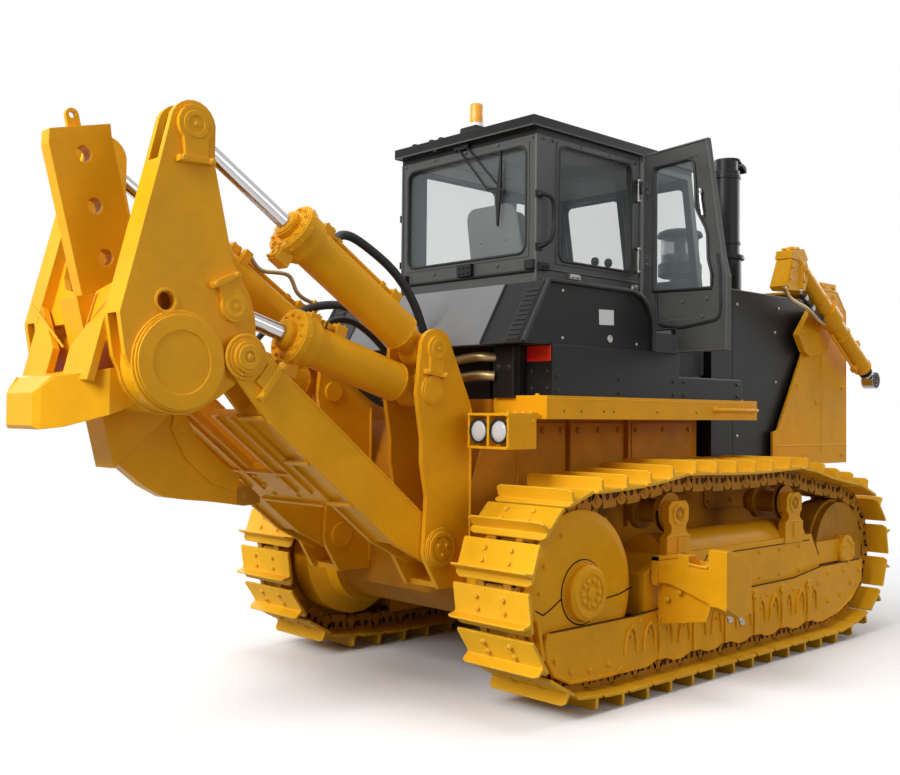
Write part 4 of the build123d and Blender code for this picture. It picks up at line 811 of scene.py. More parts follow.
# ---------------------------------------------------------------- final drives and track frames
axle_z = sprocket[1]
hub_y, cover_y, guard_y, frame_y = 1300, 1238, 1267, 1245      # faces of the hub, its cover, the guard and the frame
carrier_z, arm_y = 1040, 1255                                  # the carrier rollers' arms
under, lines, shining = Maker(), Maker(), Maker()
for _ in sides():
    hub = (0, hub_y, axle_z)
    under.ring(hub, outward, 104, 136, 7, 48)
    under.bolts(flat(hub_y, arc((0, axle_z), 72, 0, 324, 9)), outward, 12, 13)
    under.turned([(34, -1), (34, 7), (27, 10), (1, 10)], hub, outward, 28)
    under.turned([(163, -2), (176, -2), (176, 6), (163, 6)], (0, cover_y, axle_z), outward, 56, closed=True)
    lines.turned([(176, -2), (184, -2), (184, 1.5), (176, 1.5)], (0, cover_y, axle_z), outward, 56, closed=True)
    for points in ([(-182, 640), (-277, 590), (-330, 570), (-391, 601)], [(182, 600), (330, 612), (452, 640)]):
        lines.seam(points, cover_y + 1, 8)
    under.bolts(flat(guard_y, ((-262, 320), (-130, 244), (30, 228), (200, 236))), outward, 14, 15)
    under.bolts(flat(cover_y, ((-362, 690), (-322, 830), (-180, 985))), outward, 11, 12)
    # the guard's rolled lower edge
    under.tube(flat(1262, ((-338, 440), (-326, 336), (-268, 244), (-130, 184), (60, 174), (250, 170), (330, 196))),
        13)
    under.brick((-372, 1252, 440), (Vector((0.22, 0, -0.97)), Vector((0.97, 0, 0.22)), outward), (110, 12, 14))
    # arched ribs and bolts along the roller guard
    for i in range(13):
        x = 410 + i * 180
        under.tube([(x - 60, 1268, 262), (x - 52, 1271, 330), (x - 34, 1273, 392), (x, 1274, 420),
            (x + 34, 1273, 392), (x + 52, 1271, 330), (x + 60, 1268, 262)], 11, 8)
        under.bolts([(x, guard_y, 360), (x + 90, 1279 if i % 2 else guard_y, 440)], outward, 11, 13)
    lines.seam([(-300, 478), (430, 478), (1000, 506), (2300, 516), (2700, 562), (3300, 562)], 1268, 8)
    lines.seam([(2700, 640), (2600, 798)], 1246, 7)
    lines.seam([(1180, 470), (1180, 700), (1240, 760), (2560, 760)], 1246, 7)
    under.bolts([(x, frame_y, z) for x in (1330, 1600, 1870, 2140, 2410) for z in (560, 730)], outward, 12, 13)
    # arms of the carrier rollers
    for x in carriers:
        for dx in (-58, 58):
            under.bolt((x + dx, arm_y, carrier_z + 30), outward, 12, 14)
        under.ring((x, arm_y, carrier_z), outward, 46, 66, 8, 36)
        under.bolt((x, arm_y, carrier_z), outward, 12, 12)
        under.tube([(x - 122, 1247, 900), (x - 40, 1252, 912), (x + 40, 1252, 912), (x + 122, 1247, 900)], 10)
        under.box((x - 16, frame_y, 800), (x + 16, 1262, 900))
        lines.turned([(119, -34), (122, -30), (122, -12), (119, -8)], (x, 1198, carrier_z), outward, 40, closed=True)
    # root and pad of the push-beam carrier
    for x in (618, 905):
        under.slab([(1262, 640), (1300, 640), (1300, 806), (1262, 806)], x, x + 22)
    under.prism([(618, 785), (618, 806), (927, 806), (927, 785)], 1262, 1300)
    under.box((700, 1512, 764), (880, 1634, 772))
    under.bolts([(740, 1573, 772), (840, 1573, 772)], up, 14, 14)
    under.weld((642, 1506, 786), (642, 1634, 776), 8)
    under.bolts([(660, 1345, 560), (660, 1430, 610)], rear, 12, 14)
    for k, y in enumerate((1612, 1690)):
        start = Vector((868, y, 508))
        way = Vector((0.35, 0.2, -0.9)).normalized()
        under.turned([(22, -14), (24, 26), (19, 32)], start, way, 16)
        shining.turned([(13, 30), (13, 58), (17, 60), (17, 78), (11, 82)], start, way, 6)
    # idler cover and the guard's front
    idler_face = (idler_x, 1257, idler[1])
    under.turned([(113, -1), (113, 4), (104, 10), (70, 10), (66, 4), (1, 4)], idler_face, outward, 44)
    under.bolts(flat(1266, arc(idler[:2], 87, 30, 330, 5)), outward, 11, 13)
    under.bolts(flat(guard_y, ((2800, 300), (2980, 330), (3150, 400), (3290, 480), (2800, 500), (3050, 500))),
        outward, 13, 14)
    under.tube(flat(1262, ((2950, 198), (3176, 284), (3322, 408), (3332, 552))), 12)
under.done("undercarriage_fittings", yellow)
lines.done("undercarriage_seams", seam_dark_and_shade)
shining.done("hose_ends", steel)

# plates and bolts on the case between the tracks, and under it, in the darker yellow that is painted shade
case = Maker()
for _ in sides():
    for x0, x1, z0, z1 in ((120, 560, 1010, 1600), (640, 1150, 1060, 1600), (1260, 1980, 1100, 1600),
            (2150, 2850, 960, 1300)):
        case.prism([(x0, z0 + 40), (x0 + 40, z0), (x1 - 40, z0), (x1, z0 + 40), (x1, z1), (x0, z1)], 618, 632)
        case.bolts([(x, 632, z) for x in (x0 + 45, (x0 + x1) / 2, x1 - 45) for z in (z0 + 60, z1 - 50)], outward, 14,
            14)
    for x in (600, 1205):
        case.prism([(x - 14, 900), (x + 14, 900), (x + 14, 1730), (x - 14, 1730)], 618, 655)
for x in (200, 900, 1600, 2300, 2950):
    z = 430 + max(0, (x - 300)) * 70 / 900 if x < 1200 else 500 + (x - 1200) * 60 / 2100
    case.box((x - 130, -380, z - 16), (x + 130, 380, z + 6))
    case.bolts([(x + dx, y, z - 16) for dx in (-95, 95) for y in (-320, 0, 320)], (0, 0, -1), 15, 15)
case.done("case_plates", painted_shade_yellow, bevel=2)


# ---------------------------------------------------------------- lamp boxes, fenders and tanks
lamp_z, skirt_y, fender_z = 1553, 1038, 1758
boxes, rims, bright = Maker(), Maker(), Maker()
for _ in sides():
    boxes.prism([(-377, 1462), (-318, 1462), (-318, 1644), (-377, 1644)], 851, 869)
    boxes.bolts([(-378, w, z) for w in (709, 1011) for z in (1466, 1640)], rear, 6, 8, washer=False)
    boxes.bolt((-180, 1020, 1608), outward, 8, 9)
    boxes.box((-150, 740, 1646), (-60, 980, 1658))
    for w in (770, 830, 890, 950):
        boxes.bolt((-110, w, 1658), up, 10, 12)
    for w in (780, 940):
        rims.ring((-366, w, lamp_z), rear, 60, 72, 12, 36)
        bright.turned([(58, -2), (52, 5), (38, 10), (20, 12), (1, 12.5)], (-367, w, lamp_z), rear, 32)
    # holes and cap screws along the fender's skirt, and its handle
    rims.bolts([(x, skirt_y + 1, 1669) for x in (69, 225, 436, 533, 980, 1420)], outward, 8, 2, washer=False)
    boxes.weld((-80, skirt_y, 1740), (2180, skirt_y, 1740), 4)
    boxes.bolts([(x, 930, fender_z) for x in (-40, 2100, 2160)], up, 11, 12)
boxes.done("lamp_box_fittings", yellow, bevel=1)
rims.done("lamp_rims", rubber)
bright.done("lamp_faces", lens)

reflectors = Maker()
tanks, pale, rings, slots = Maker(), Maker(), Maker(), Maker()
u_deck = Vector((225, 0, 375)).normalized()
n_deck = Vector((-375, 0, 225)).normalized()
deck_foot = Vector((-225, 905, 2080))
latch = (567, 979, 2118)
for _ in sides():
    reflectors.box((5, 804, 1959), (11, 988, 2052))
    # the tank's folded edge, seams and screws
    tanks.tube([(8, 990, 2055), (1277, 990, 2055)], 9, 8)
    tanks.tube([(1277, 992, 2050), (1277, 992, 1905)], 8, 8)
    tanks.tube([(1277, 990, 1900), (2050, 990, 1900)], 8, 8)
    tanks.tube([(12, y, 2052) for y in (985, 670)], 8, 8)
    tanks.bolts([(9, y, z) for y in (700, 840, 960) for z in (1800, 1900)], rear, 9, 9)
    tanks.bolts([(x, 1000, z) for x in (60, 640, 1220, 1340, 1990) for z in (1785, 1870)], outward, 9, 9)
    tanks.turned([(46, -1), (46, 16), (40, 22), (1, 22)], (1700, 820, 1900), up, 32)
    # the cover's folded edge, hinge bolts, latch, blank label and slotted rear edge
    edge = [(-15, 2430), (760, 2430)] + arc((760, 2190), 240, 80, 0, 8) + [(1000, 2060)]
    tanks.tube(flat(977, [(-238, 2058)] + edge), 8, 8)
    pale.prism([(462, 2198), (606, 2204), (602, 2298), (458, 2292)], 978, 982)
    rings.ring(latch, outward, 13, 24, 6, 28)
    rings.turned([(11, -1), (11, 3), (1, 3)], latch, outward, 16)
    rings.bolts(flat(latch[1], ((120, 2100), (840, 2100), (120, 2380))), outward, 7, 7)
    for k in range(11):
        slots.brick(deck_foot + u_deck * (34 * k) + n_deck * 3, (u_deck, outward, n_deck), (10, 46, 5))
    tanks.brick(deck_foot + u_deck * 190 + n_deck, (u_deck, outward, n_deck), (215, 58, 4))
    tanks.tube([(-232, 652, 2066), (-18, 652, 2426)], 10, 8)
    # posts under the deck's rear edge, with the pipes between them
    tanks.box((-110, 640, 1745), (-60, 800, 2050))
    tanks.bolts([(-110, y, 1925) for y in (682, 766)], rear, 10, 10)
    tanks.box((-60, 640, 1745), (10, 800, 2055))
reflectors.done("rear_reflectors", red, bevel=2)
tanks.done("tank_fittings", black, bevel=2)
pale.done("blank_labels", white, bevel=0.5)
rings.done("cover_latches", steel)
slots.done("cover_slots", black_matt)
for side, word in sides():
    for k, (z, reach) in enumerate(((1985, 0), (1873, 40))):
        pipe(f"deck_pipe_{word}_{k}", [(-70 - reach, 655, z), (-150, 600, z + 6), (-160, 480, z),
            (-150, 330, z - 18), (-60, 250, z - 26)], 30)


# ---------------------------------------------------------------- cab
hinge_x, hinge_y = 1340, 661
wall_y, gutter_z, rod_x = 641, 3446, 1296       # the cab's side face, the roof's gutter and the door's hinge rods
seals, trim, panels, fittings = Maker(), Maker(), Maker(), Maker()


def rounded_window(a0, a1, b0, b1, radius):
    points = []
    for a, b, start in ((a1 - radius, b1 - radius, 0), (a0 + radius, b1 - radius, 90),
            (a0 + radius, b0 + radius, 180), (a1 - radius, b0 + radius, 270)):
        points += arc((a, b), radius, start, start + 90, 7)
    return points


def window_edge(place, size, corner, depth):
    """A plate that rounds a window's corners, and the rubber seal along it; place turns (a, b, depth) to a point."""
    a0, a1, b0, b1 = size
    outer = rounded_window(a0 - 14, a1 + 14, b0 - 14, b1 + 14, 5)
    inner = rounded_window(a0 + 10, a1 - 10, b0 + 10, b1 - 10, corner)
    panels.loft([[place(a, b, d) for a, b in edge] for edge, d in ((outer, 0), (outer, depth), (inner, depth),
        (inner, -14))], closed=True)
    line = [place(a, b, depth) for a, b in inner]
    seals.tube(line + line[:2], 9, 8)


window_edge(lambda a, b, d: (270 - d, a, b), (-560, 580, 2650, 3350), 66, 5)
for _ in sides():
    window_edge(lambda a, b, d: (a, 640 + d, b), (465, 1235, 2614, 3370), 52, 5)
for y0, y1 in ((-575, -25), (25, 575)):
    window_edge(lambda a, b, d: (2120 - (b - 2520) * 0.184 + d, a, b), (y0, y1, 2650, 3340), 60, 4)
# folded edges of the cab's corners, the roof's gutter and the panel seams
for _ in sides():
    trim.tube([(268, 632, 2436), (268, 632, 3398)], 9, 8)
    trim.tube([(300, wall_y, 2560), (1320, wall_y, 2560)], 7, 8)
    trim.tube([(216, 657, gutter_z), (2012, 657, gutter_z)], 6, 8)
    trim.tube([(1330, wall_y, 2100), (1330, wall_y, 3440)], 6, 8)
    panels.bolts([(x, wall_y, z) for x in (330, 420) for z in (2490, 3380)] + [(x, wall_y, 3385)
        for x in (700, 1000, 1290)], outward, 8, 8)
    # sill fittings under the side window
    fittings.box((560, 640, 2515), (660, 668, 2548))
    fittings.bolts([(585, 668, 2532), (635, 668, 2532)], outward, 8, 10)
    fittings.tube([(1225, 650, 2500), (1240, 656, 2522), (1262, 656, 2512), (1280, 654, 2536)], 11)
    fittings.bolts([(1236, 652, 2520), (1268, 652, 2524)], outward, 12, 14)
    # long hinge rods with their end nuts
    for z0, z1 in ((2633, 2791), (3123, 3262)):
        fittings.tube([(rod_x, 652, z0), (rod_x, 652, z1)], 7)
        fittings.turned([(14, -9), (16, -5), (16, 5), (14, 9)], (rod_x, 656, z0), up, 14)
        fittings.turned([(14, -9), (16, -5), (16, 5), (14, 9)], (rod_x, 656, z1), up, 14)
trim.tube([(216, y, gutter_z) for y in (-655, 655)], 6, 8)
panels.bolts([(268, y, 3385) for y in (-600, -300, 0, 300, 600)] + [(268, y, 2600) for y in (-600, -300, 300, 600)],
    rear, 7, 7)
panels.done("window_plates", charcoal, smooth=30)
trim.done("cab_edges", charcoal)
fittings.done("cab_fittings", steel)

foot_and_shade = Maker()
foot_and_shade.box((236, -85, 2556), (269, 45, 2636))
foot_and_shade.bolts([(236, y, z) for y in (-62, -20, 22) for z in (2578, 2614)], rear, 7, 7)
# a black bar along the foot of the cab's rear: painted shadow in the gap between the cab and the deck
foot_and_shade.tube([(262, -628, 2546), (262, 628, 2546)], 10, 8)
for y in (205, 299, 471):
    foot_and_shade.turned([(22, -2), (22, 7), (16, 14), (5, 16)], (236, y, 3507), up, 18)
foot_and_shade.box((214, 226, 3428), (226, 262, 3446))
for _ in sides():
    foot_and_shade.box((238, 560, 2556), (269, 634, 2612))
    foot_and_shade.box((285, 640, 2548), (365, 664, 2596))
    foot_and_shade.bolts([(305, 664, 2572), (345, 664, 2572)], outward, 8, 8)
    # a thin black sheet on the cab's lower side wall: painted shade
    foot_and_shade.prism([(1345, 1870), (2080, 1870), (2080, 2060), (2050, 2230), (1345, 2230)], 640.4, 642.6)
    seals.tube(flat(997, [(-238, 2062), (-120, 2255), (-18, 2430), (380, 2430), (760, 2430)] + arc((760, 2190), 240,
        84, 0, 8) + [(1000, 2062)]), 13, 8)
foot_and_shade.done("cab_foot_and_shade", black_matt, smooth=30)
seals.done("window_seals", rubber)

# rear wiper: two arms from the motor to the blade's bracket
wiper = Maker()
wiper.box((246, -42, 3408), (270, 92, 3452))
for start, end in (((255, 62, 3424), (253, -222, 3104)), ((255, -20, 3424), (253, -300, 3136))):
    wiper.tube([start, end], 7)
    wiper.turned([(14, -10), (14, 12), (8, 16)], start, rear, 14)
wiper.tube([(253, -214, 3110), (250, -330, 3094), (250, -382, 3070)], 8)
wiper.loft([[(244, -345, 3342), (252, -339, 3342), (262, -339, 3342), (262, -345, 3342)]] + [[(x, y - w, z),
    (x, y + w, z), (x + 14, y + w, z), (x + 14, y - w, z)]
    for x, y, w, z in ((246, -339, 9, 3260), (242, -332, 19, 3110), (242, -325, 20, 3060), (246, -318, 12, 2930),
    (250, -313, 5, 2856))])
wiper.done("rear_wiper", black_matt, smooth=30)

# grab handles: bent bars at the cab's rear corners and on the fenders
rails, steps = Maker(), Maker()
bar_y, rail_y, rail_z = 690, 1085, 1690
for _ in sides():
    rails.tube([(286, 636, 3022), (300, 668, 3020), (334, bar_y, 3008), (360, bar_y, 2990), (370, bar_y, 2960),
        (372, bar_y, 2890), (372, bar_y, 2812), (362, bar_y, 2766), (338, bar_y, 2732), (302, 668, 2700),
        (286, 636, 2692)], 14, 12)
    for z in (3022, 2692):
        rails.brick((284, wall_y, z), (ahead, up, outward), (30, 24, 5))
    steps.tube([(1640, 1038, rail_z), (1640, 1070, rail_z), (1652, rail_y, rail_z), (2118, rail_y, rail_z),
        (2130, 1070, rail_z), (2130, 1038, rail_z)], 13, 12)
    steps.bolts([(x, 1042, rail_z) for x in (1640, 2130)], outward, 16, 6)
rails.done("grab_bars", black, replaces=("grab_rails",))
steps.done("fender_rails", yellow)

# beacon: white foot under an amber lens with fine flutes
beacon = (306, -60, 0)
foot = Maker()
foot.turned([(52, 3541), (52, 3566), (49, 3577), (1, 3577)], beacon, up, 36)
foot.done("beacon_foot", white)
lamp = Maker()
profile = [(47, 3577), (47, 3590), (44, 3592), (46, 3596), (46, 3690), (40, 3706), (26, 3711), (1, 3711.5)]
flutes, flute_low, flute_high = 72, 3592, 3700
dents_at = [(1, 0.98 if flute_low < z < flute_high else 1) for _, z in profile]
lamp.loft([[(beacon[0] + x * dents[k % 2], beacon[1] + y * dents[k % 2], z)
    for k, (x, y) in enumerate(circle(r, flutes))] for (r, z), dents in zip(profile, dents_at)])
lamp.done("beacon_lens", amber, smooth=20, replaces=("beacon",))
pedestal = Maker()
pedestal.slab([(-141, 3506), (21, 3506), (15, 3546), (-135, 3546)], 229, 383)
pedestal.done("beacon_pedestal", black_matt, bevel=6, replaces=("beacon_base",))

# doors: seal, lower panel, latch plate and lever, hinge leaves; the right one stands open
door_in, door_out = hinge_y - 13, hinge_y + 13
door_turns = {"right": -100, "left": 0}         # degrees about the hinge


def on_door(off, *points):
    """Points (distance from the hinge, height) at this distance outside the door's middle."""
    return [(hinge_x + u, hinge_y + off, z) for u, z in points]


for side, word in sides():
    leaf, rim, lever = Maker(), Maker(), Maker()
    window = [(118, 2490), (640, 2466), (648, 2540), (612, 2655), (606, 2810), (590, 2860), (520, 2975), (506, 3010),
        (500, 3166), (488, 3290), (472, 3318), (440, 3330), (160, 3330), (130, 3318), (118, 3290)]
    edge = [(24, 2228), (336, 2228), (352, 2070), (760, 2070), (766, 2525), (732, 2650), (594, 3430), (24, 3430)]
    panel = [(150, 2470), (152, 2330), (170, 2270), (230, 2245), (386, 2228), (672, 2258), (705, 2280), (716, 2330),
        (712, 2560), (690, 2680)]
    for off, thick in ((17, 11), (-13, 5)):
        rim.tube(on_door(off, *window, *window[:2]), thick, 8)
        rim.tube(on_door(off, *panel), thick, 8)
        leaf.tube(on_door(off, *edge, *edge[:2]), min(thick, 7), 8)
    leaf.bolts(on_door(18, (385, 2397), (294, 2281), (600, 2400), (560, 2290)), outward, 8, 8)
    for corner, start in (((166, 3282), 90), ((440, 3282), 0)):
        tip = (118, 3345) if start else (500, 3345)
        leaf.prism([(hinge_x + u, z) for u, z in [tip] + arc(corner, 48, start, start + 90, 6)], door_in, door_out)
    leaf.prism([(hinge_x + u, z) for u, z in ((104, 2280), (655, 2280), (660, 2470), (104, 2494))], door_in, door_out)
    leaf.prism([(hinge_x + u, z) for u, z in ((530, 3345), (486, 3345), (496, 3166), (505, 2990), (600, 2858),
        (640, 2700))], door_in, door_out + 1)
    for z in (2650, 3140):
        leaf.prism([(hinge_x + u, z + h) for u, h in ((22, 0), (96, 8), (96, 92), (22, 100))], hinge_y + 14,
            hinge_y + 22)
        leaf.bolts(on_door(22, (62, z + 28), (62, z + 72)), outward, 8, 9)
    lever.tube([*on_door(40, (558, 3090)), *on_door(42, (572, 3010)), *on_door(40, (584, 2938))], 10)
    lever.turned([(12, -14), (20, -6), (20, 8), (12, 16)], on_door(36, (556, 3096))[0], outward, 18)
    for end in ((584, 2944), (558, 3090)):
        lever.tube(on_door(12, end) + on_door(42, end), 9)
    for maker in (leaf, rim, lever):
        bmesh.ops.rotate(maker.bm, cent=(hinge_x, side * hinge_y, 0), verts=maker.bm.verts,
            matrix=Matrix.Rotation(radians(door_turns[word]), 3, "Z"))
    leaf.done(f"door_leaf_{word}", charcoal, f"door_{word}", smooth=30)
    rim.done(f"door_seal_{word}", rubber, f"door_{word}")
    lever.done(f"door_lever_{word}", chrome, f"door_{word}")

# inside the cab: headliner, levers, and the padded seat on its moulded shell
inside, knobs = Maker(), Maker()
inside.slab([(-590, 3398), (590, 3398), (590, 3382), (560, 3372), (-560, 3372), (-590, 3382)], 318, 1890)
for y in (-300, 0, 300):
    inside.tube([(330, y, 3372), (1880, y, 3372)], 8, 8)
for y in (-592, 592):
    inside.prism([(318, 2000), (318, 2600), (1300, 2600), (1300, 2000)], y, y * 1.003)
inside.slab([(-590, 2560), (590, 2560), (590, 2610), (-590, 2610)], 316, 322)
inside.done("cab_headliner", lining, bevel=3)
for x, y in ((1230, -430), (1120, -400), (1230, 430)):
    knobs.tube([(x, y, 2555), (x + 12, y, 2640), (x + 18, y, 2690)], 9)
    knobs.turned([(10, 0), (24, 12), (29, 34), (22, 56), (6, 64)], (x + 18, y, 2680), (0.1, 0, 1), 18)
knobs.tube([(1880, 0, 2470), (1840, 0, 2560)], 20)
knobs.turned([(1, 0), (30, 2), (36, 12), (20, 20), (1, 20)], (1840, 0, 2560), (-0.4, 0, 1), 24)
knobs.done("cab_levers", black_matt)


def pad(name, low, high, crown, tilt=0.0, fill=0.7):
    """A crowned cushion between two corners, with sewn channels across its face; tilt leans it back."""
    core_half, corner, channels, channel_half = 0.72, 0.28, (-0.36, 0.36), 0.07        # shares of the half size
    bm = bmesh.new()
    bmesh.ops.create_cube(bm, size=2)
    bmesh.ops.subdivide_edges(bm, edges=bm.edges, cuts=15, use_grid_fill=True)
    middle, half = (Vector(low) + Vector(high)) / 2, (Vector(high) - Vector(low)) / 2
    thin = min(range(3), key=lambda i: half[i])
    wide = [i for i in range(3) if i != thin]
    for v in bm.verts:
        p = v.co.copy()
        core = Vector([max(-core_half, min(core_half, c)) for c in p])
        beyond = p - core
        p = core + (beyond.normalized() * corner if beyond.length > 1e-6 else beyond)
        a, b = p[wide[0]], p[wide[1]]
        swell = (1 - a * a) * (1 - b * b)
        channel = sum(max(0, 1 - abs(b - line) / channel_half) ** 2 for line in channels) * swell
        p[thin] *= 1 - crown + crown * swell - 0.16 * channel
        for i in wide:
            p[i] *= 1 - 0.03 * (1 - abs(p[thin])) * (1 - fill)
        place = middle + Vector([p[i] * half[i] for i in range(3)])
        place.x -= (place.z - low[2]) * tilt
        v.co = place
    mesh = bpy.data.meshes.new(name)
    bm.to_mesh(mesh)
    bm.free()
    mesh.transform(to_frame)
    thing = placed(mesh, name, cloth, smooth=80)
    smooth = thing.modifiers.new("soft", "SUBSURF")
    smooth.levels = smooth.render_levels = 1
    return thing


lean = 0.176            # of the backrest and the shell behind it
cushion = pad("seat_cushion", (705, -245, 2318), (1235, 245, 2440), 0.3)
pad("seat_backrest", (655, -225, 2425), (745, 225, 3020), 0.35, tilt=lean)
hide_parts("seat")
shell = Maker()
outline = [(-235, 2330), (235, 2330), (252, 2560), (240, 2900), *arc((150, 2975), 88, 0, 90, 5),
    *arc((-150, 2975), 88, 90, 180, 5), (-240, 2900), (-252, 2560)]
shell.loft([[(x - (z - 2425) * lean, y * k, z) for y, z in outline]
    for x, k in ((640, 0.94), (622, 1.0), (612, 0.97))])
for y, z in ((-120, 2830), (120, 2830), (-160, 2620), (160, 2620), (0, 2560)):
    shell.bolt((612 - (z - 2425) * lean, y, z), rear, 10, 7)
shell.box((720, -225, 2296), (1215, 225, 2326))
shell.done("seat_shell", moulded, bevel=4)


# ---------------------------------------------------------------- hood, exhaust, air cleaner and guard
hood_y, plate_y, box_y = 700, 750, 800          # faces of the hood, the guard's plates and its cover boxes
sheet, dark, pins_out = Maker(), Maker(), Maker()
for _ in sides():
    dark.seam([(2420, 1360), (2420, 2600)], hood_y, 4)
    pins_out.bolts(flat(hood_y, ((3094, 2514), (3038, 2319), (3352, 2300), (3049, 1924), (2480, 2500),
        (2480, 1500))), outward, 8, 8)
    for x in (2240, 2340):
        sheet.ring((x, hood_y, 2470), outward, 14, 24, 7, 24)
    sheet.tube([(2134, 690, 2606), (3690, 690, 2606)], 9, 8)
dark.done("hood_seams", black_matt)
pins_out.done("hood_screws", steel)
for y0, y1 in ((-560, -40), (40, 560)):
    sheet.prism([(2200, 2608), (2200, 2618), (2390, 2618), (2390, 2608)], y0, y1)
    sheet.prism([(3140, 2608), (3140, 2618), (3620, 2618), (3620, 2608)], y0, y1)
sheet.bolts([(x, y, 2618) for x in (2225, 2365, 3165, 3595) for y in (-520, -80, 80, 520)], up, 9, 9)
# exhaust: clamps, base bolts and the tilting rain cap with its weight
stack = (2961, -300, 0)
for z, r in ((2938, 142), (3060, 112), (3600, 112)):
    sheet.turned([(r, z - 16), (r + 7, z - 13), (r + 7, z + 13), (r, z + 16)], stack, up, 40, closed=True)
    sheet.brick((stack[0] - r - 14, stack[1], z), (ahead, outward, up), (14, 18, 12))
sheet.bolts([(x, y, 2650) for x, y in arc(stack, 138, 22.5, 337.5, 7)], up, 9, 10)
sheet.tube([(3078, -372, 3738), (3078, -228, 3738)], 9)
sheet.prism([(2950, 3722), (2950, 3738), (3140, 3742), (3188, 3724), (3200, 3680), (3180, 3668), (3160, 3700),
    (3126, 3718)], -352, -248)
sheet.done("hood_fittings", black, bevel=1.5)
# air pre-cleaner: neck and drum, clear bowl with vanes, mushroom cap
cleaner = (2500, -170, 0)
drum = Maker()
drum.turned([(72, 2606), (72, 2700), (84, 2704), (84, 2726), (72, 2730), (72, 2742), (150, 2750), (171, 2764),
    (171, 2850), (160, 2862), (1, 2862)], cleaner, up, 48)
drum.turned([(44, 2860), (44, 3080)], cleaner, up, 24)
for x, y in circle(1, 12):
    drum.brick((cleaner[0] + 96 * x, cleaner[1] + 96 * y, 2905),
        (Vector((x, y, 0)), Vector((-y * 0.8, x * 0.8, 0.6)), Vector((y * 0.6, -x * 0.6, 0.8))), (46, 3, 34))
drum.turned([(152, 3060), (179, 3072), (179, 3088), (168, 3108), (130, 3126), (70, 3137), (20, 3139.5), (1, 3139.8)],
    cleaner, up, 48)
drum.bolt((*cleaner[:2], 3130), up, 8, 9)
drum.done("cleaner_drum", black_matt, smooth=35, replaces=("precleaner",))
bowl = Maker()
bowl.turned([(149, 2860), (150, 2870), (150, 3050), (147, 3064), (143, 3064), (146, 3048), (146, 2872), (143, 2862)],
    cleaner, up, 48, closed=True)
bowl.done("cleaner_bowl", bowl_clear)

shroud = Maker()
for y in (-690, 640):
    shroud.prism([(2900, 1320), (3900, 1320), (3900, 2500), (2900, 2500)], y, y + 50)
shroud.box((3560, -640, 2470), (3900, 640, 2490))
shroud.box((3880, -640, 1330), (3900, 640, 2490))
for k in range(31):
    shroud.tube([(3902, -600 + 40 * k, 1350), (3902, -600 + 40 * k, 2480)], 9, 6)
shroud.done("radiator_shroud", black_matt, bevel=4)
front = Maker()
for _ in sides():
    front.bolts(flat(plate_y, ((3616, 1770), (3000, 1330), (3400, 1330), (4060, 1330), (4060, 2480), (4060, 1900),
        (3800, 2640), (3540, 2300), (3300, 1900))), outward, 13, 13)
    front.weld((3700, plate_y, 1350), (3700, plate_y, 2500), 5)
    front.weld((3000, plate_y, 1420), (4100, plate_y, 1420), 5)
    front.tube([(4138, 744, 1270), (4138, 744, 2556), (3980, 744, 2716), (3694, 744, 2716)], 10)
    front.bolts(flat(box_y, ((3290, 2330), (3400, 2480), (3420, 2200), (3680, 2240), (3700, 2480))), outward, 14, 15)
    front.ring((3600, box_y, 2425), outward, 47, 72, 8, 36)
    front.bolts([(x, plate_y, z) for x in (3740, 3920) for z in (2670, 2745)], outward, 12, 13)
front.bolts([(4142, y, z) for y in (-690, 690) for z in (1400, 1800, 2200, 2500)], ahead, 12, 12)
front.done("guard_fittings", yellow)
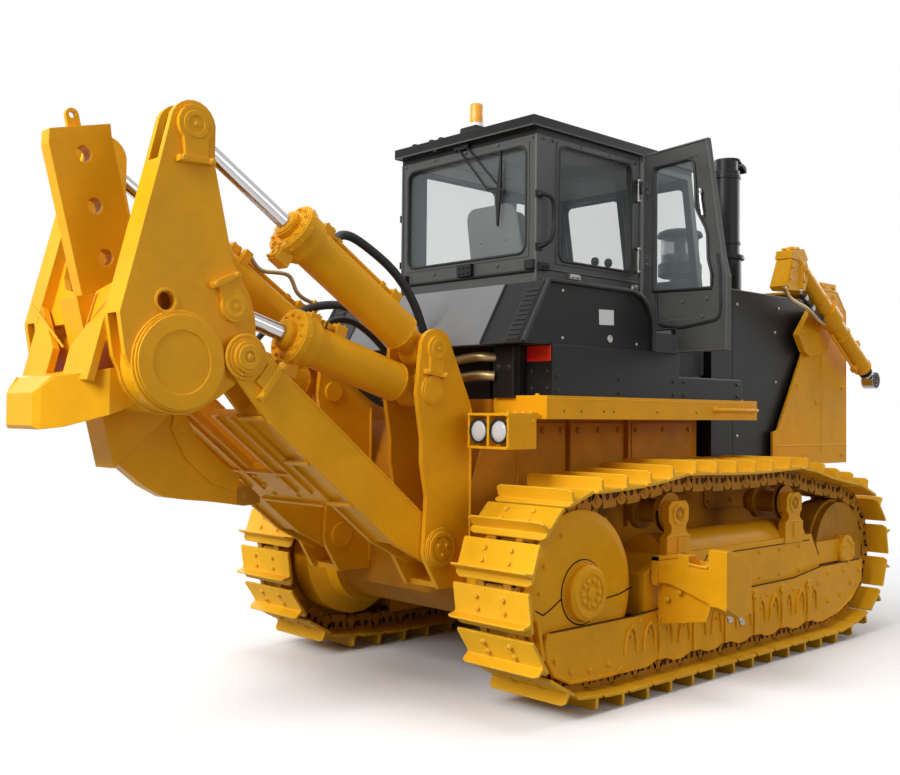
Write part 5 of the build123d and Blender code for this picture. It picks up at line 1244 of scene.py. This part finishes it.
# blade-lift cylinders, along the line from the trunnion to the rod's eye
trunnion, rod_eye = (2925, 2877), (4277, 1971)
cylinder_y, port_y = 905, 948
lift_u, lift_up, reach, point = on_line(trunnion, rod_eye)
lift_ways = (lift_u, outward, lift_up)
for _, word in sides():
    y = cylinder_y
    body, hoses, ends, eye = Maker(), Maker(), Maker(), Maker()
    body.bolts([(2868, y + w, 2940) for w in (-36, 36)] + [(2950, y + w, 2950) for w in (-36, 36)], up, 12, 14)
    for (x0, z0), (x1, z1), r in (((2818, 2838), (2742, 2648), 34), ((2985, 2834), (2968, 2650), 36)):
        body.tube([(x0, port_y, z0), (x1, port_y, z1)], r, 18)
        body.turned([(r - 8, -14), (r, -8), (r, 4)], (x1, port_y, z1), (x0 - x1, 0, z0 - z1), 18)
        ends.turned([(r - 14, -30), (r - 10, -8)], (x1, port_y, z1), (x0 - x1, 0, z0 - z1), 18)
        body.bolts([(x0 * s + x1 * (1 - s), 989, z0 * s + z1 * (1 - s)) for s in (0.25, 0.75)], outward, 9, 9)
    for d in (120, 520, 980, 1430):
        body.turned([(70, -11), (79, -8), (79, 8), (70, 11)], point(d, 0, y), lift_u, 36, closed=True)
    body.bolts([point(1457, 0, y) + lift_up * a + outward * b for a, b in arc((0, 0), 56, 22.5, 337.5, 7)], lift_u,
        8, 10)
    body.brick(point(1244, 92, y), lift_ways, (24, 22, 28))
    body.bolt(point(1244, 120, y), lift_up, 10, 12)
    body.brick(point(1325, -92, y), lift_ways, (26, 22, 28))
    body.tube([point(1325, -104, y), point(1100, -100, y), point(840, -104, y)], 12)
    body.brick(point(170, -168, y), lift_ways, (52, 40, 16))
    body.brick(point(170, -110, y), lift_ways, (12, 12, 50))
    hoses.tube([(2968, 930, 2630), point(150, -160, 930), point(330, -150, 920), point(560, -120, 905),
        point(650, -86, y)], 20)
    for d in (90, 300, 430):
        ends.turned([(15, -22), (25, -22), (25, 6), (19, 8), (19, 24)], point(d, -150, 935), lift_u, 6)
    body.done(f"blade_cylinder_fittings_{word}", yellow, f"blade_barrel_{word}", smooth=35)
    hoses.done(f"blade_cylinder_hose_{word}", rubber, f"blade_barrel_{word}")
    ends.done(f"blade_cylinder_unions_{word}", steel, f"blade_barrel_{word}")
    pipe(f"blade_cylinder_pipe_{word}", [(2742, port_y, 2640), (2780, port_y, 2580), (2870, 945, 2540),
        point(400, -185, 930), point(620, -150, 915), point(720, -88, y)], 16, f"blade_barrel_{word}")
    for w in (-50, 50):
        eye.ring((rod_eye[0], y + w, rod_eye[1]), outward if w > 0 else inward, 39, 66, 3, 36)
    eye.turned([(36, -56), (56, -50), (56, -40), (36, -34)], point(reach - 70, 0, y), lift_u, 30, closed=True)
    eye.done(f"blade_rod_seal_{word}", rubber, f"blade_rod_{word}")


# ---------------------------------------------------------------- hydraulic hoses of the ripper
ports = Maker()
# how each upper hose climbs: the right one as seen, the left one lower
climb = {RIGHT: [(-310, 150, 2340), (-470, 150, 2510), (-660, 150, 2620), (-850, 170, 2690), (-990, 225, 2640),
    (-1010, 290, 2470), (-940, 335, 2330)], LEFT: [(-300, 165, 2200), (-420, 190, 2280), (-560, 240, 2325),
    (-700, 300, 2315), (-800, 338, 2275)]}
# ends of the hoses on the cylinders, and directions along and above these
tilt_end, lift_end = (-870, 345, 2233), (-1170, 345, 1975)
tilt_along, tilt_above, lift_along = (Vector(way) for way in ((-0.8374, 0, 0.5468), (0.5468, 0, 0.8374),
    (-0.957, 0, 0.289)))
for side, word in sides():
    hose(f"tilt_hose_{word}", [(-58, 180, 1960), (-130, 170, 1975), (-215, 155, 2110), *climb[side], tilt_end], 27,
        tilt_end)
    hose(f"lift_hose_{word}", [(-108, 240, 1680), (-240, 245, 1700), (-360, 260, 1780), (-490, 275, 1890),
        (-620, 272, 1995), (-760, 272, 2110), (-905, 272, 2180), (-1060, 280, 2160), (-1150, 318, 2080), lift_end],
        18, lift_end)
    for name, place, u, half in (("tilt_pins", (-862, 336, 2224), tilt_along, 42),
            ("lift_barrels", (-1172, 336, 1950), lift_along, 40)):
        block = Maker()
        block_up = Vector((u.z, 0, -u.x))
        block.brick(place, (u, block_up, outward), (half, half - 8, 16))
        block.bolts([Vector(place) + u * s + inward * 16 + block_up * t for s in (-26, 26) for t in (-20, 20)],
            inward, 7, 9, washer=False)
        block.done(f"{name[:4]}_port_{word}", yellow, name, bevel=3)
    ports.turned([(26, -4), (36, -4), (36, 20), (30, 24), (30, 60), (26, 60)], (-60, 200, 1960), (-1, 0, 0.02), 20,
        closed=True)
    ports.turned([(20, -4), (30, -4), (30, 16), (25, 20), (25, 50), (20, 50)], (-110, 240, 1680), (-1, 0, 0.03), 20,
        closed=True)
pipe("cross_tube", [(-1164, 385, 2600), (-1110, 385, 2520), (-1054, 385, 2496), (-960, 385, 2502), (-870, 385, 2498),
    (-836, 385, 2450), (-815, 385, 2395), (-750, 385, 2350), (-667, 385, 2332)], 13, "tilt_barrels")
clips = Maker()
for x, z, half in ((-1189, 2562, 50), (-694, 2285, 66)):
    place = Vector((x, 385, z))
    clips.brick(place, (outward, tilt_along, tilt_above), (24, 28, half))
    clips.bolts([place + tilt_above * half - tilt_along * d for d in (-14, 14)], tilt_above, 8, 10)
clips.done("cross_tube_clips", yellow, "tilt_barrels", bevel=3)
ports.done("hose_unions", steel)
